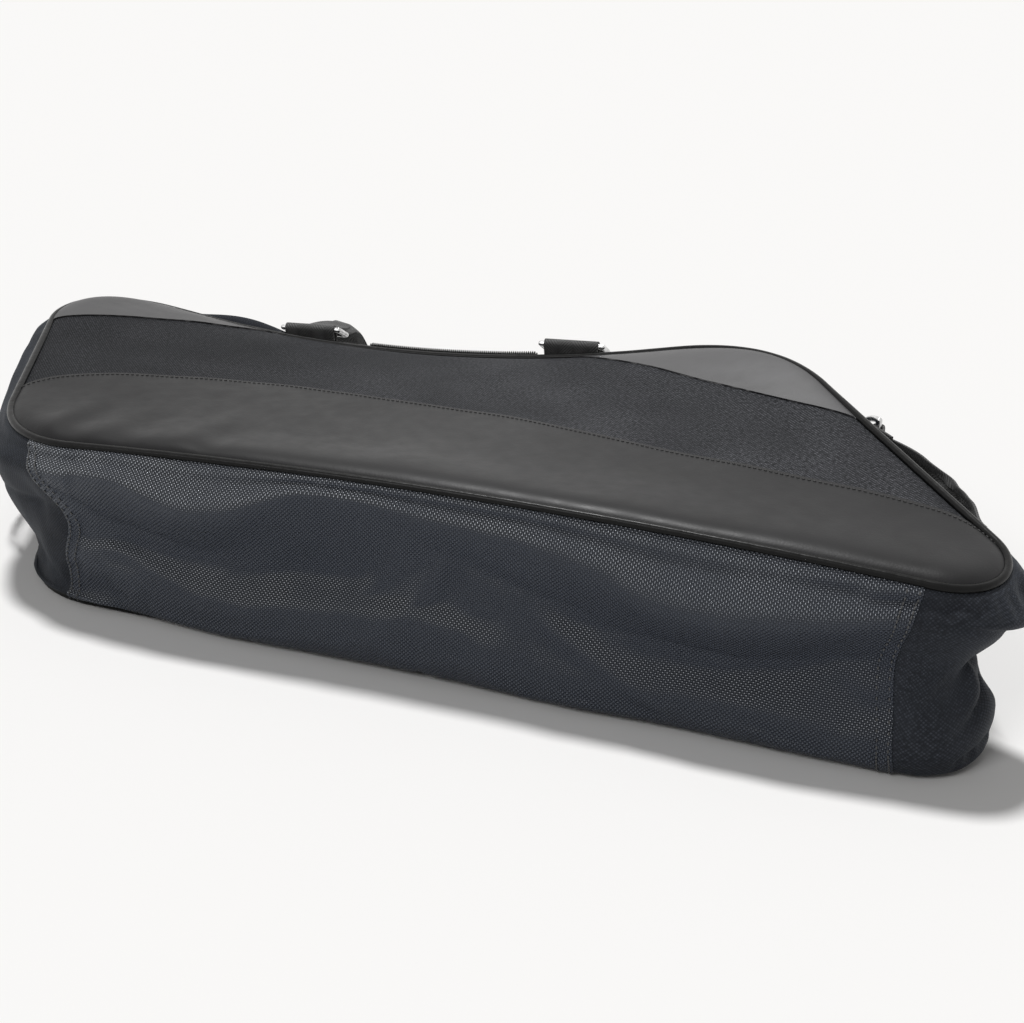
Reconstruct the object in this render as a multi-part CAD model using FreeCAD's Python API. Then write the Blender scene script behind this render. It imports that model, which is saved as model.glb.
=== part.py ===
# Soft duffel bag lying on its back panel, as separate sewn pieces, hardware and hinged parts.
# Millimetres. +X runs along the bag, +Y towards its top edge with the zip, +Z up off the floor.
# The origin is the middle of the back panel's outer face, which rests on the floor.

import FreeCAD, Part
import math
import os

Vec = FreeCAD.Vector
UP = Vec(0, 0, 1)

# ---- driving dimensions -------------------------------------------------------------------

# Panels: four straight sides with rounded corners. The top edge has slumped towards -X.
bottom_length = 648.0
top_length = 550.0
panel_height = 268.0
lean = 160.0
bottom_left_radius = 90.0
bottom_right_radius = 38.0
top_right_radius = 150.0
top_left_radius = 63.0
panel_thickness = 2.0

# Height of the front panel's face over the floor at six places, left, middle and right.
bottom_edge_heights = (104.0, 119.0, 107.0)
top_edge_heights = (130.0, 104.0, 152.0)

# Piping and the binding tape that covers each seam inside.
piping_size = 4.5
piping_proud = 1.5
binding_width = 8.0
binding_thickness = 1.5

# Walls between the two panels. A wall bulges out twice, with a crease between the bulges.
# The places of the bulges and the crease are shares of the wall's height.
wall_thickness = 2.0
lower_bulge = 10.0
lower_bulge_place = 0.25
crease_stand = -1.0
crease_place = 0.52
upper_bulge = 10.0
upper_bulge_place = 0.78
bottom_wall_height = 112.0
left_wall_height = 114.0
right_wall_height = 133.0
bottom_seam_left = -206.0
bottom_seam_right = 323.0

# Seams between the nylon field and the leather pieces, as heights over the bottom edge.
# The band's seam also passes four points, each a place along X and a height.
band_left_height = 66.0
band_seam = ((-218.0, 111.0), (-60.0, 152.0), (133.0, 121.0), (304.0, 76.0))
band_right_height = 46.0
left_corner_side_height = 186.0
left_corner_top_reach = 190.0
left_corner_sweep = 26.0
right_corner_top_reach = 150.0
right_corner_side_height = 168.0
right_corner_sweep = 8.0
seam_overrun = 8.0

# Zip in the top wall, open between its two sliders.
zip_left = -253.0
zip_right = 112.0
zip_height = 56.0
zip_mouth_left = -100.0
zip_mouth_right = 26.0
zip_flare = 24.0
zip_mouth_drop = 8.0
zip_mouth_lift = 36.0
tape_width = 16.0
tape_thickness = 1.0
coil_gap = 0.8
coil_width = 3.5
coil_height = 2.5
coil_margin = 2.0
zip_end_length = 9.0
zip_end_width = 24.0
zip_end_thickness = 1.5

# Zip slider and its puller.
slider_length = 14.0
slider_width = 14.0
slider_plate = 1.2
slider_clearance = 0.15
slider_post = 1.0
slider_post_length = 3.0
slider_bridge_length = 5.0
slider_bridge_width = 3.0
puller_pin_radius = 0.9
puller_pin_clearance = 0.08
puller_side_gap = 0.25
puller_arm = 1.8
puller_loop_length = 9.0
puller_length = 30.0
puller_thickness = 1.6

# Webbing and metal fittings.
webbing_width = 40.0
webbing_thickness = 1.6
wire_diameter = 4.0
wire_clearance = 0.08
fitting_play = 1.0
fitting_gap = 0.1
ring_gap = 10.0

# Handles: each hangs on two rectangular rings, held by tabs at the top edge.
tab_left = -152.0
tab_right = 53.0
tab_rise = 6.5
tab_foot = 10.0
back_tab_reach = 8.0
floor_gap = 0.5
handle_length = 190.0
handle_turn = 70.0
handle_thickness = 2.2
strap_loop_length = 12.0
grip_length = 110.0
grip_width = 24.0
grip_thickness = 6.0

# Webbing strap with a D-ring on each end wall. Distances run up the side from its lower corner.
end_strap_width = 38.0
end_strap_thickness = 2.0
end_strap_pad = 12.0
right_strap_start = 99.0
right_strap_end = 218.0
right_strap_height = 110.0
right_strap_arch = 16.0
left_strap_start = 70.0
left_strap_end = 180.0
left_strap_height = 57.0
left_strap_arch = 3.0
d_ring_inner_radius = 20.0

# ---- the panel outline --------------------------------------------------------------------

CORNERS = (
    (Vec(lean / 2 - bottom_length / 2, -panel_height / 2, 0), bottom_left_radius),
    (Vec(lean / 2 + bottom_length / 2, -panel_height / 2, 0), bottom_right_radius),
    (Vec(-lean / 2 + top_length / 2, panel_height / 2, 0), top_right_radius),
    (Vec(-lean / 2 - top_length / 2, panel_height / 2, 0), top_left_radius),
)
FAR = 3 * bottom_length


def side_direction(side):
    """Unit vector along a side: 0 is the bottom, 1 the right, 2 the top, 3 the left."""
    run = CORNERS[(side + 1) % len(CORNERS)][0] - CORNERS[side][0]
    return run.normalize()


def inward(direction):
    return Vec(-direction.y, direction.x, 0)


def inset_corner(index, inset):
    """Where the two sides beside a corner meet once both are moved inward."""
    before = side_direction(index - 1)
    after = side_direction(index)
    start = CORNERS[index][0] + inward(before) * inset
    other = CORNERS[index][0] + inward(after) * inset
    reach = (other - start).cross(after).z / before.cross(after).z
    return start + before * reach


def corner_arc(index, inset):
    """Start, middle, end and centre of one rounded corner, and its turn in degrees."""
    before = side_direction(index - 1)
    after = side_direction(index)
    turn = before.getAngle(after)
    radius = CORNERS[index][1] - inset
    corner = inset_corner(index, inset)
    start = corner - before * (radius * math.tan(turn / 2))
    end = corner + after * (radius * math.tan(turn / 2))
    centre = start + inward(before) * radius
    middle = centre + (corner - centre).normalize() * radius
    return start, middle, end, centre, math.degrees(turn)


def outline_face(inset, z):
    edges = []
    for index in range(len(CORNERS)):
        start, middle, end = corner_arc(index, inset)[:3]
        following = corner_arc((index + 1) % len(CORNERS), inset)[0]
        edges.append(Part.Arc(start, middle, end).toShape())
        edges.append(Part.LineSegment(end, following).toShape())
    face = Part.Face(Part.Wire(edges))
    face.translate(UP * z)
    return face


def outline_prism(inset, low, high):
    return outline_face(inset, low).extrude(UP * (high - low))


def outline_band(outer, inner, low, high):
    return outline_prism(outer, low, high).cut(outline_prism(inner, low, high))


def side_point(side, distance):
    """A point on a side's outer line, at a distance from that side's lower corner."""
    if side == 1:
        return CORNERS[1][0] + side_direction(1) * distance
    return CORNERS[0][0] - side_direction(3) * distance


def side_x(side, y):
    """Where the right (1) or left (3) side stands at a given y."""
    direction = side_direction(side)
    corner = CORNERS[side][0]
    return corner.x + direction.x * (y - corner.y) / direction.y


# ---- the front panel's curved face --------------------------------------------------------

def blend_heights(heights, place):
    """Smooth height through left, middle and right values; place runs from -1 to 1."""
    left, middle, right = heights
    return middle + (right - left) / 2 * place + ((left + right) / 2 - middle) * place * place


def face_height(x, y):
    up = y / panel_height + 0.5
    middle = (side_x(1, y) + side_x(3, y)) / 2
    place = (x - middle) / ((side_x(1, y) - side_x(3, y)) / 2)
    low = blend_heights(bottom_edge_heights, place)
    high = blend_heights(top_edge_heights, place)
    return low * (1 - up) + high * up


def front_sheet(low, high):
    """The space between two copies of the front face, wider than the panel on every side."""
    columns = 13
    rows = 5
    margin = 8.0
    left = side_x(3, panel_height / 2) - margin
    right = side_x(1, -panel_height / 2) + margin
    grid = []
    for column in range(columns):
        x = left + (right - left) * column / (columns - 1)
        line = []
        for row in range(rows):
            y = (panel_height / 2 + margin) * (2 * row / (rows - 1) - 1)
            line.append(Vec(x, y, face_height(x, y) + low))
        grid.append(line)
    surface = Part.BSplineSurface()
    surface.interpolate(grid)
    return surface.toShape().extrude(UP * (high - low))


# ---- seams that part the nylon field from the leather -------------------------------------

def over_bottom(height):
    return height - panel_height / 2


def region(points, closing):
    """A tall prism bounded by a smooth seam through points and by straight closing lines."""
    seam = Part.BSplineCurve()
    seam.interpolate(points)
    edges = [seam.toShape()]
    corners = [points[-1]] + closing + [points[0]]
    for start, end in zip(corners, corners[1:]):
        edges.append(Part.LineSegment(start, end).toShape())
    face = Part.Face(Part.Wire(edges))
    face.translate(UP * -FAR)
    return face.extrude(UP * (2 * FAR))


def past_side(side, y):
    """Just outside the left (3) or right (1) side, where a seam that falls outward ends."""
    way = 1 if side == 1 else -1
    return Vec(side_x(side, y) + way * seam_overrun, y - seam_overrun, 0)


def band_region():
    points = [past_side(3, over_bottom(band_left_height))]
    points += [Vec(x, over_bottom(height), 0) for x, height in band_seam]
    points.append(past_side(1, over_bottom(band_right_height)))
    return region(points, [Vec(FAR, -FAR, 0), Vec(-FAR, -FAR, 0)])


def left_corner_region():
    start = past_side(3, over_bottom(left_corner_side_height))
    end = CORNERS[3][0] + Vec(left_corner_top_reach, 0, 0)
    bow = inward(end - start).normalize() * left_corner_sweep
    points = [start, (start + end) / 2 + bow, end]
    return region(points, [Vec(end.x, FAR, 0), Vec(-FAR, FAR, 0), Vec(-FAR, start.y, 0)])


def right_corner_region():
    start = CORNERS[2][0] - Vec(right_corner_top_reach, 0, 0)
    end = past_side(1, over_bottom(right_corner_side_height))
    bow = inward(end - start).normalize() * right_corner_sweep
    points = [start, (start + end) / 2 + bow, end]
    return region(points, [Vec(FAR, end.y, 0), Vec(FAR, FAR, 0), Vec(start.x, FAR, 0)])


def split_panel(sheet, name):
    """Cut a whole panel into its nylon field, its lower band and its two corner pieces."""
    band = band_region()
    left = left_corner_region()
    right = right_corner_region()
    return {
        name + "_panel_nylon": sheet.cut(band).cut(left).cut(right),
        name + "_lower_band": sheet.common(band),
        name + "_corner_left": sheet.common(left),
        name + "_corner_right": sheet.common(right),
    }


def make_panels():
    field_front = outline_prism(piping_size, 0, FAR).common(front_sheet(-panel_thickness, 0))
    field_back = outline_prism(piping_size, 0, panel_thickness)
    binding_inner = piping_size + binding_width
    binding_low = -panel_thickness - binding_thickness
    pieces = split_panel(field_front, "front")
    pieces.update(split_panel(field_back, "back"))
    piping_space = front_sheet(piping_proud - piping_size, piping_proud)
    pieces["front_piping"] = outline_band(0, piping_size, 0, FAR).common(piping_space)
    pieces["back_piping"] = outline_band(0, piping_size, 0, piping_size)
    binding_space = front_sheet(binding_low, -panel_thickness)
    ring = outline_band(piping_size, binding_inner, 0, FAR)
    pieces["front_seam_binding"] = ring.common(binding_space)
    pieces["back_seam_binding"] = outline_band(
        piping_size, binding_inner, panel_thickness, panel_thickness + binding_thickness)
    return pieces


# ---- walls --------------------------------------------------------------------------------

WALL_INSET = piping_size / 2
WALL_TOP = max(bottom_edge_heights + top_edge_heights) + piping_size


def wall_section(start, outward, wall_height, depth):
    """Closed section of a wall: bulge, crease, bulge, then upright; depth is its thickness."""
    half = wall_thickness / 2
    shape = (
        (0.0, piping_size),
        (lower_bulge, wall_height * lower_bulge_place),
        (crease_stand, wall_height * crease_place),
        (upper_bulge, wall_height * upper_bulge_place),
        (0.0, wall_height),
    )
    outer = [start + outward * (half + out) + UP * z for out, z in shape]
    inner = [point - outward * depth for point in outer]
    outer_curve = Part.BSplineCurve()
    outer_curve.interpolate(outer)
    inner_curve = Part.BSplineCurve()
    inner_curve.interpolate(inner)
    outer_top = outer[-1] + UP * (WALL_TOP - wall_height)
    inner_top = inner[-1] + UP * (WALL_TOP - wall_height)
    edges = [
        outer_curve.toShape(),
        Part.LineSegment(outer[-1], outer_top).toShape(),
        Part.LineSegment(outer_top, inner_top).toShape(),
        Part.LineSegment(inner_top, inner[-1]).toShape(),
        inner_curve.toShape(),
        Part.LineSegment(inner[0], outer[0]).toShape(),
    ]
    return Part.Face(Part.Wire(Part.__sortEdges__(edges)))


def wall_run(side, wall_height, depth=wall_thickness):
    """Wall along one straight side."""
    start = corner_arc(side, WALL_INSET)[2]
    end = corner_arc((side + 1) % len(CORNERS), WALL_INSET)[0]
    outward = inward(side_direction(side)) * -1
    return wall_section(start, outward, wall_height, depth).extrude(end - start)


def wall_corner(index, wall_height):
    """Wall round one rounded corner."""
    start, _middle, _end, centre, turn = corner_arc(index, WALL_INSET)
    outward = (start - centre).normalize()
    return wall_section(start, outward, wall_height, wall_thickness).revolve(centre, UP, turn)


def joined(shapes):
    return shapes[0].multiFuse(shapes[1:]).removeSplitter()


def plan_prism(points):
    corners = [Vec(x, y, -FAR) for x, y in points]
    return Part.Face(Part.makePolygon(corners + corners[:1])).extrude(UP * (2 * FAR))


def make_walls():
    over_piping = front_sheet(piping_proud - piping_size, WALL_TOP)
    seam_top = over_bottom(bottom_left_radius)
    left_side = plan_prism([
        (bottom_seam_left, -FAR), (bottom_seam_left, seam_top), (zip_left, seam_top),
        (zip_left, FAR), (-FAR, FAR), (-FAR, -FAR)])
    right_side = plan_prism([
        (bottom_seam_right, -FAR), (FAR, -FAR), (FAR, FAR),
        (zip_right, FAR), (zip_right, seam_top), (bottom_seam_right, seam_top)])
    between_seams = plan_prism([
        (bottom_seam_left, -FAR), (bottom_seam_right, -FAR),
        (bottom_seam_right, seam_top), (bottom_seam_left, seam_top)])
    bottom = joined([
        wall_corner(0, bottom_wall_height), wall_run(0, bottom_wall_height),
        wall_corner(1, bottom_wall_height)])
    left = joined([
        wall_run(2, left_wall_height), wall_corner(3, left_wall_height),
        wall_run(3, left_wall_height), wall_corner(0, left_wall_height),
        wall_run(0, left_wall_height)])
    right = joined([
        wall_run(0, right_wall_height), wall_corner(1, right_wall_height),
        wall_run(1, right_wall_height), wall_corner(2, right_wall_height),
        wall_run(2, right_wall_height)])
    return {
        "bottom_panel": bottom.common(between_seams).cut(over_piping),
        "end_gusset_left": left.common(left_side).cut(over_piping),
        "end_gusset_right": right.common(right_side).cut(over_piping),
    }


# ---- zip ----------------------------------------------------------------------------------

TOP_FACE = panel_height / 2 - WALL_INSET + wall_thickness / 2
TOP_BACK = TOP_FACE - wall_thickness
COIL_TOP = TOP_BACK + coil_height


def zip_edge(offset, parting):
    """Points along one edge of the zip, parted at the mouth; offset is from the zip's middle."""
    parted = offset + parting
    return [
        (zip_left, offset), (zip_mouth_left - zip_flare, offset),
        (zip_mouth_left, parted), (zip_mouth_right, parted),
        (zip_mouth_right + zip_flare, offset), (zip_right, offset)]


def zip_strip(near, far, side, low_y, high_y):
    """A strip along the zip between two edges; side is 1 for the front half, -1 for the back."""
    outline = near + far[::-1]
    points = [Vec(x, low_y, zip_height + side * z) for x, z in outline]
    face = Part.Face(Part.makePolygon(points + points[:1]))
    return face.extrude(Vec(0, high_y - low_y, 0))


def make_zip():
    pieces = {}
    tape_low = TOP_BACK - tape_thickness
    placket = coil_gap + coil_width + coil_margin
    over_piping = front_sheet(piping_proud - piping_size, WALL_TOP)
    halves = (
        ("front", 1, zip_mouth_lift, WALL_TOP - zip_height),
        ("back", -1, zip_mouth_drop, zip_height - piping_size),
    )
    for name, side, parting, reach in halves:
        edge = zip_edge(coil_gap, parting)
        tape_edge = zip_edge(coil_gap + tape_width, parting)
        coil_edge = zip_edge(coil_gap + coil_width, parting)
        far = [(zip_left, reach), (zip_right, reach)]
        tape = zip_strip(edge, tape_edge, side, tape_low, TOP_BACK)
        coil = zip_strip(edge, coil_edge, side, TOP_BACK, COIL_TOP)
        wall = zip_strip(zip_edge(placket, parting), far, side, TOP_BACK, TOP_FACE)
        pieces["zip_tape_" + name] = tape.cut(over_piping)
        pieces["zip_coil_" + name] = coil
        pieces["zip_placket_" + name] = wall.cut(over_piping)
    for name, x in (("left", zip_left), ("right", zip_right - zip_end_length)):
        corner = Vec(x, COIL_TOP, zip_height - zip_end_width / 2)
        pieces["zip_end_" + name] = Part.makeBox(
            zip_end_length, zip_end_thickness, zip_end_width, corner)
    return pieces


SLIDER_START = {
    "left": zip_mouth_left - zip_flare - slider_length / 2,
    "right": zip_mouth_right + zip_flare + slider_length / 2,
}
SLIDER_INWARD = {"left": 1, "right": -1}
SLIDER_OUTER_LOW = COIL_TOP + slider_clearance
SLIDER_OUTER_HIGH = SLIDER_OUTER_LOW + slider_plate
SLIDER_INNER_HIGH = TOP_BACK - tape_thickness - slider_clearance
PULLER_Y = SLIDER_OUTER_HIGH + slider_bridge_width / 2 + puller_pin_radius


def block(x, y, z):
    """A box between pairs of limits."""
    size = [high - low for low, high in (x, y, z)]
    return Part.makeBox(size[0], size[1], size[2], Vec(x[0], y[0], z[0]))


def make_slider(name):
    x = SLIDER_START[name]
    half = slider_length / 2
    wide = slider_width / 2
    across = (zip_height - wide, zip_height + wide)
    along = (x - half, x + half)
    outer = block(along, (SLIDER_OUTER_LOW, SLIDER_OUTER_HIGH), across)
    inner = block(along, (SLIDER_INNER_HIGH - slider_plate, SLIDER_INNER_HIGH), across)
    head = x + SLIDER_INWARD[name] * (half - slider_post_length)
    foot = x + SLIDER_INWARD[name] * half
    post = block(
        (min(head, foot), max(head, foot)), (SLIDER_INNER_HIGH, SLIDER_OUTER_LOW),
        (zip_height - slider_post / 2, zip_height + slider_post / 2))
    bridge_top = PULLER_Y + puller_pin_radius + slider_bridge_width / 2
    bridge = block(
        (x - slider_bridge_length / 2, x + slider_bridge_length / 2),
        (SLIDER_OUTER_HIGH, bridge_top),
        (zip_height - slider_bridge_width / 2, zip_height + slider_bridge_width / 2))
    hole = Part.makeCylinder(
        puller_pin_radius + puller_pin_clearance, slider_width,
        Vec(x, PULLER_Y, zip_height - wide), UP)
    return joined([outer, inner, post, bridge]).cut(hole)


def make_puller(name):
    x = SLIDER_START[name]
    way = SLIDER_INWARD[name]
    half = puller_thickness / 2
    inner = slider_bridge_width / 2 + puller_side_gap
    outer = inner + puller_arm
    level = (PULLER_Y - half, PULLER_Y + half)
    loop_end = x + way * puller_loop_length
    tip = x + way * puller_length
    arm_x = (min(x, loop_end), max(x, loop_end))
    tongue_x = (min(loop_end, tip), max(loop_end, tip))
    pin = Part.makeCylinder(
        puller_pin_radius, 2 * outer, Vec(x, PULLER_Y, zip_height - outer), UP)
    low_arm = block(arm_x, level, (zip_height - outer, zip_height - inner))
    high_arm = block(arm_x, level, (zip_height + inner, zip_height + outer))
    tongue = block(tongue_x, level, (zip_height - outer, zip_height + outer))
    return joined([pin, low_arm, high_arm, tongue])


# ---- handles ------------------------------------------------------------------------------

WIRE_RADIUS = wire_diameter / 2
LOOP_RADIUS = WIRE_RADIUS + wire_clearance + webbing_thickness
RING_REACH = ring_gap + wire_diameter
PIPING_FACE = panel_height / 2


def tab_height(x):
    return face_height(x, panel_height / 2) + tab_rise


def wire_bore(start, direction, width):
    """The space that a wire needs in a loop of webbing, run out past both its edges."""
    return Part.makeCylinder(
        WIRE_RADIUS + wire_clearance, width + 2 * fitting_play,
        start - direction * fitting_play, direction)


def webbing_loop(centre, back):
    """Folded webbing round a wire along X: a block from y = back to the wire, with a bore."""
    start = Vec(centre - webbing_width / 2, 0, 0)
    along = Vec(1, 0, 0)
    low = start + Vec(0, min(back, 0), -LOOP_RADIUS)
    body = Part.makeBox(webbing_width, abs(back), 2 * LOOP_RADIUS, low)
    nose = Part.makeCylinder(LOOP_RADIUS, webbing_width, start, along)
    return joined([body, nose]).cut(wire_bore(start, along, webbing_width))


def wire_frame(corners):
    """Round wire through a closed run of corners, with a ball at each corner."""
    pieces = []
    for start, end in zip(corners, corners[1:] + corners[:1]):
        run = end - start
        pieces.append(Part.makeCylinder(WIRE_RADIUS, run.Length, start, run))
        pieces.append(Part.makeSphere(WIRE_RADIUS, start))
    return joined(pieces)


def make_handle_ring(centre):
    """Rectangular ring: one bar on the X axis, the other further out along Y."""
    half = webbing_width / 2 + fitting_play + WIRE_RADIUS
    return wire_frame([
        Vec(centre - half, 0, 0), Vec(centre + half, 0, 0),
        Vec(centre + half, RING_REACH, 0), Vec(centre - half, RING_REACH, 0)])


def make_handle(spacing):
    """U-shaped strap that reaches out along Y from two loops on the X axis."""
    half = spacing / 2
    low = -LOOP_RADIUS
    outer = half + webbing_width / 2
    inner = half - webbing_width / 2
    outer_turn = handle_turn + webbing_width / 2
    inner_turn = handle_turn - webbing_width / 2
    shape = rounded_tongue(outer, handle_length, outer_turn, low)
    hole = rounded_tongue(inner, handle_length - webbing_width, inner_turn, low)
    strap = shape.cut(hole)
    grip_middle = handle_length - webbing_width / 2
    grip = block(
        (-grip_length / 2, grip_length / 2),
        (grip_middle - grip_width / 2, grip_middle + grip_width / 2),
        (low, low + grip_thickness))
    loops = []
    for centre in (-half, half):
        loops.append(webbing_loop(centre, strap_loop_length))
        start = Vec(centre - webbing_width / 2, 0, 0)
        strap = strap.cut(wire_bore(start, Vec(1, 0, 0), webbing_width))
    return joined([strap, grip] + loops)


def rounded_tongue(half, length, radius, low):
    """A plate from y = 0 to length with its two far corners rounded."""
    turn = radius * (1 - math.sqrt(0.5))
    far_left = Vec(-half + radius, length, low)
    far_right = Vec(half - radius, length, low)
    edges = [
        Part.LineSegment(Vec(-half, 0, low), Vec(half, 0, low)).toShape(),
        Part.LineSegment(Vec(half, 0, low), Vec(half, length - radius, low)).toShape(),
        Part.Arc(
            Vec(half, length - radius, low), Vec(half - turn, length - turn, low),
            far_right).toShape(),
        Part.LineSegment(far_right, far_left).toShape(),
        Part.Arc(
            far_left, Vec(-half + turn, length - turn, low),
            Vec(-half, length - radius, low)).toShape(),
        Part.LineSegment(Vec(-half, length - radius, low), Vec(-half, 0, low)).toShape(),
    ]
    return Part.Face(Part.Wire(edges)).extrude(UP * handle_thickness)


TAB_MIDDLE = (tab_left + tab_right) / 2
FRONT_PIVOT_Y = PIPING_FACE + fitting_gap + LOOP_RADIUS
FRONT_PIVOT = Vec(TAB_MIDDLE, FRONT_PIVOT_Y, (tab_height(tab_left) + tab_height(tab_right)) / 2)
FRONT_SLOPE = math.atan2(tab_height(tab_right) - tab_height(tab_left), tab_right - tab_left)
FRONT_SPACING = (tab_right - tab_left) / math.cos(FRONT_SLOPE)
FRONT_AXIS = Vec(math.cos(FRONT_SLOPE), 0, math.sin(FRONT_SLOPE))
BACK_PIVOT_Z = LOOP_RADIUS + floor_gap
BACK_PIVOT = Vec(TAB_MIDDLE, PIPING_FACE + fitting_gap + back_tab_reach, BACK_PIVOT_Z)
BACK_SPACING = tab_right - tab_left

# The front handle leans back from its rings until its far end nearly meets the back handle.
HANDLE_DROP = (
    FRONT_PIVOT.z - LOOP_RADIUS - BACK_PIVOT_Z - floor_gap
    - (FRONT_SPACING + webbing_width) / 2 * math.sin(FRONT_SLOPE))
HANDLE_REST = math.asin(HANDLE_DROP / (RING_REACH + handle_length))
FRONT_OUTWARD = FreeCAD.Rotation(Vec(0, 1, 0), -math.degrees(FRONT_SLOPE)).multVec(
    Vec(0, math.cos(HANDLE_REST), -math.sin(HANDLE_REST)))
FRONT_SWIVEL = FRONT_PIVOT + FRONT_OUTWARD * RING_REACH
BACK_SWIVEL = BACK_PIVOT + Vec(0, RING_REACH, 0)


def place_front(shape, dip):
    """Stand a piece made about the X axis on the front rings' sloping axis."""
    shape.rotate(Vec(0, 0, 0), Vec(1, 0, 0), -math.degrees(dip))
    shape.rotate(Vec(0, 0, 0), Vec(0, 1, 0), -math.degrees(FRONT_SLOPE))
    shape.translate(FRONT_PIVOT)
    return shape


def make_handles():
    pieces = {}
    for name, centre in (("left", -FRONT_SPACING / 2), ("right", FRONT_SPACING / 2)):
        tab = webbing_loop(centre, -(tab_rise + tab_foot))
        pieces["handle_tab_front_" + name] = place_front(tab, -math.pi / 2)
        ring = make_handle_ring(centre)
        pieces["handle_ring_front_" + name] = place_front(ring, HANDLE_REST)
    for name, centre in (("left", -BACK_SPACING / 2), ("right", BACK_SPACING / 2)):
        tab = webbing_loop(centre, -back_tab_reach)
        tab.translate(BACK_PIVOT)
        pieces["handle_tab_back_" + name] = tab
        ring = make_handle_ring(centre)
        ring.translate(BACK_PIVOT)
        pieces["handle_ring_back_" + name] = ring
    front = make_handle(FRONT_SPACING)
    front.translate(Vec(0, RING_REACH, 0))
    pieces["handle_front"] = place_front(front, HANDLE_REST)
    back = make_handle(BACK_SPACING)
    back.translate(BACK_SWIVEL)
    pieces["handle_back"] = back
    return pieces


# ---- end straps and D-rings ---------------------------------------------------------------

END_SEAT = wall_thickness / 2 - WALL_INSET + upper_bulge
END_LOOP_LIFT = END_SEAT + LOOP_RADIUS
END_PLACE = {
    "right": (right_strap_start, right_strap_end, right_strap_height, right_strap_arch),
    "left": (left_strap_start, left_strap_end, left_strap_height, left_strap_arch),
}
END_WALL_HEIGHT = {"right": right_wall_height, "left": left_wall_height}


def end_side(name):
    return 1 if name == "right" else 3


def side_frame(side):
    """Unit vectors up a side wall's length and out of it."""
    along = side_direction(side) if side == 1 else side_direction(side) * -1
    return along, inward(side_direction(side)) * -1


def d_ring_pivot(name):
    _start, end, height, _arch = END_PLACE[name]
    side = end_side(name)
    outward = side_frame(side)[1]
    return side_point(side, end + LOOP_RADIUS) + outward * END_LOOP_LIFT + UP * height


def make_end_strap(name):
    """Webbing sewn down at both ends, bowed between, and looped round the D-ring's bar."""
    start, end, height, arch = END_PLACE[name]
    side = end_side(name)
    along, outward = side_frame(side)
    origin = side_point(side, 0) + UP * (height - end_strap_width / 2)

    def at(distance, out):
        return origin + along * distance + outward * out

    thick = end_strap_thickness
    low = start + end_strap_pad
    high = end - end_strap_pad
    middle = (low + high) / 2
    bar = end + LOOP_RADIUS
    top = END_SEAT + thick
    edges = [
        Part.LineSegment(at(start, -WALL_INSET), at(low, -WALL_INSET)).toShape(),
        Part.LineSegment(at(low, -WALL_INSET), at(low, END_SEAT)).toShape(),
        Part.Arc(at(low, END_SEAT), at(middle, END_SEAT + arch), at(high, END_SEAT)).toShape(),
        Part.LineSegment(at(high, END_SEAT), at(high, -WALL_INSET)).toShape(),
        Part.LineSegment(at(high, -WALL_INSET), at(bar, -WALL_INSET)).toShape(),
        Part.LineSegment(at(bar, -WALL_INSET), at(bar, top)).toShape(),
        Part.LineSegment(at(bar, top), at(high, top)).toShape(),
        Part.Arc(at(high, top), at(middle, top + arch), at(low, top)).toShape(),
        Part.LineSegment(at(low, top), at(start, top)).toShape(),
        Part.LineSegment(at(start, top), at(start, -WALL_INSET)).toShape(),
    ]
    strap = Part.Face(Part.Wire(edges)).extrude(UP * end_strap_width)
    pivot = d_ring_pivot(name) - UP * (end_strap_width / 2)
    nose = Part.makeCylinder(LOOP_RADIUS, end_strap_width, pivot, UP)
    bore = wire_bore(pivot, UP, end_strap_width)
    wall = wall_run(side, END_WALL_HEIGHT[name], lower_bulge + wall_thickness)
    return joined([strap, nose]).cut(bore).cut(wall)


def make_d_ring(name):
    """D-ring with its straight bar upright, lying along the wall beyond the strap."""
    radius = d_ring_inner_radius + WIRE_RADIUS
    low = UP * -radius
    high = UP * radius
    bar = Part.makeCylinder(WIRE_RADIUS, 2 * radius, low, UP)
    section = Part.Face(Part.Wire(Part.makeCircle(WIRE_RADIUS, high, Vec(1, 0, 0))))
    bow = section.revolve(Vec(0, 0, 0), Vec(0, 1, 0), 180)
    ends = [Part.makeSphere(WIRE_RADIUS, low), Part.makeSphere(WIRE_RADIUS, high)]
    ring = joined([bar, bow] + ends)
    along = side_frame(end_side(name))[0]
    ring.rotate(Vec(0, 0, 0), UP, math.degrees(math.atan2(along.y, along.x)))
    ring.translate(d_ring_pivot(name))
    return ring


# ---- build --------------------------------------------------------------------------------

def make_all():
    pieces = make_panels()
    pieces.update(make_walls())
    pieces.update(make_zip())
    for name in ("left", "right"):
        pieces["zip_slider_" + name] = make_slider(name)
        pieces["zip_puller_" + name] = make_puller(name)
        pieces["end_strap_" + name] = make_end_strap(name)
        pieces["d_ring_" + name] = make_d_ring(name)
    pieces.update(make_handles())
    return pieces


def main():
    os.makedirs("parts", exist_ok=True)
    for name, shape in make_all().items():
        shape.exportStep("parts/" + name + ".step")
        state = "ok" if shape.isValid() else "INVALID"
        print(name, len(shape.Solids), "solid", round(shape.Volume), "mm3", state)


main()
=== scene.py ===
import bmesh
import bpy
import math
import numpy as np
from mathutils import Matrix, Vector, noise


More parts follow.
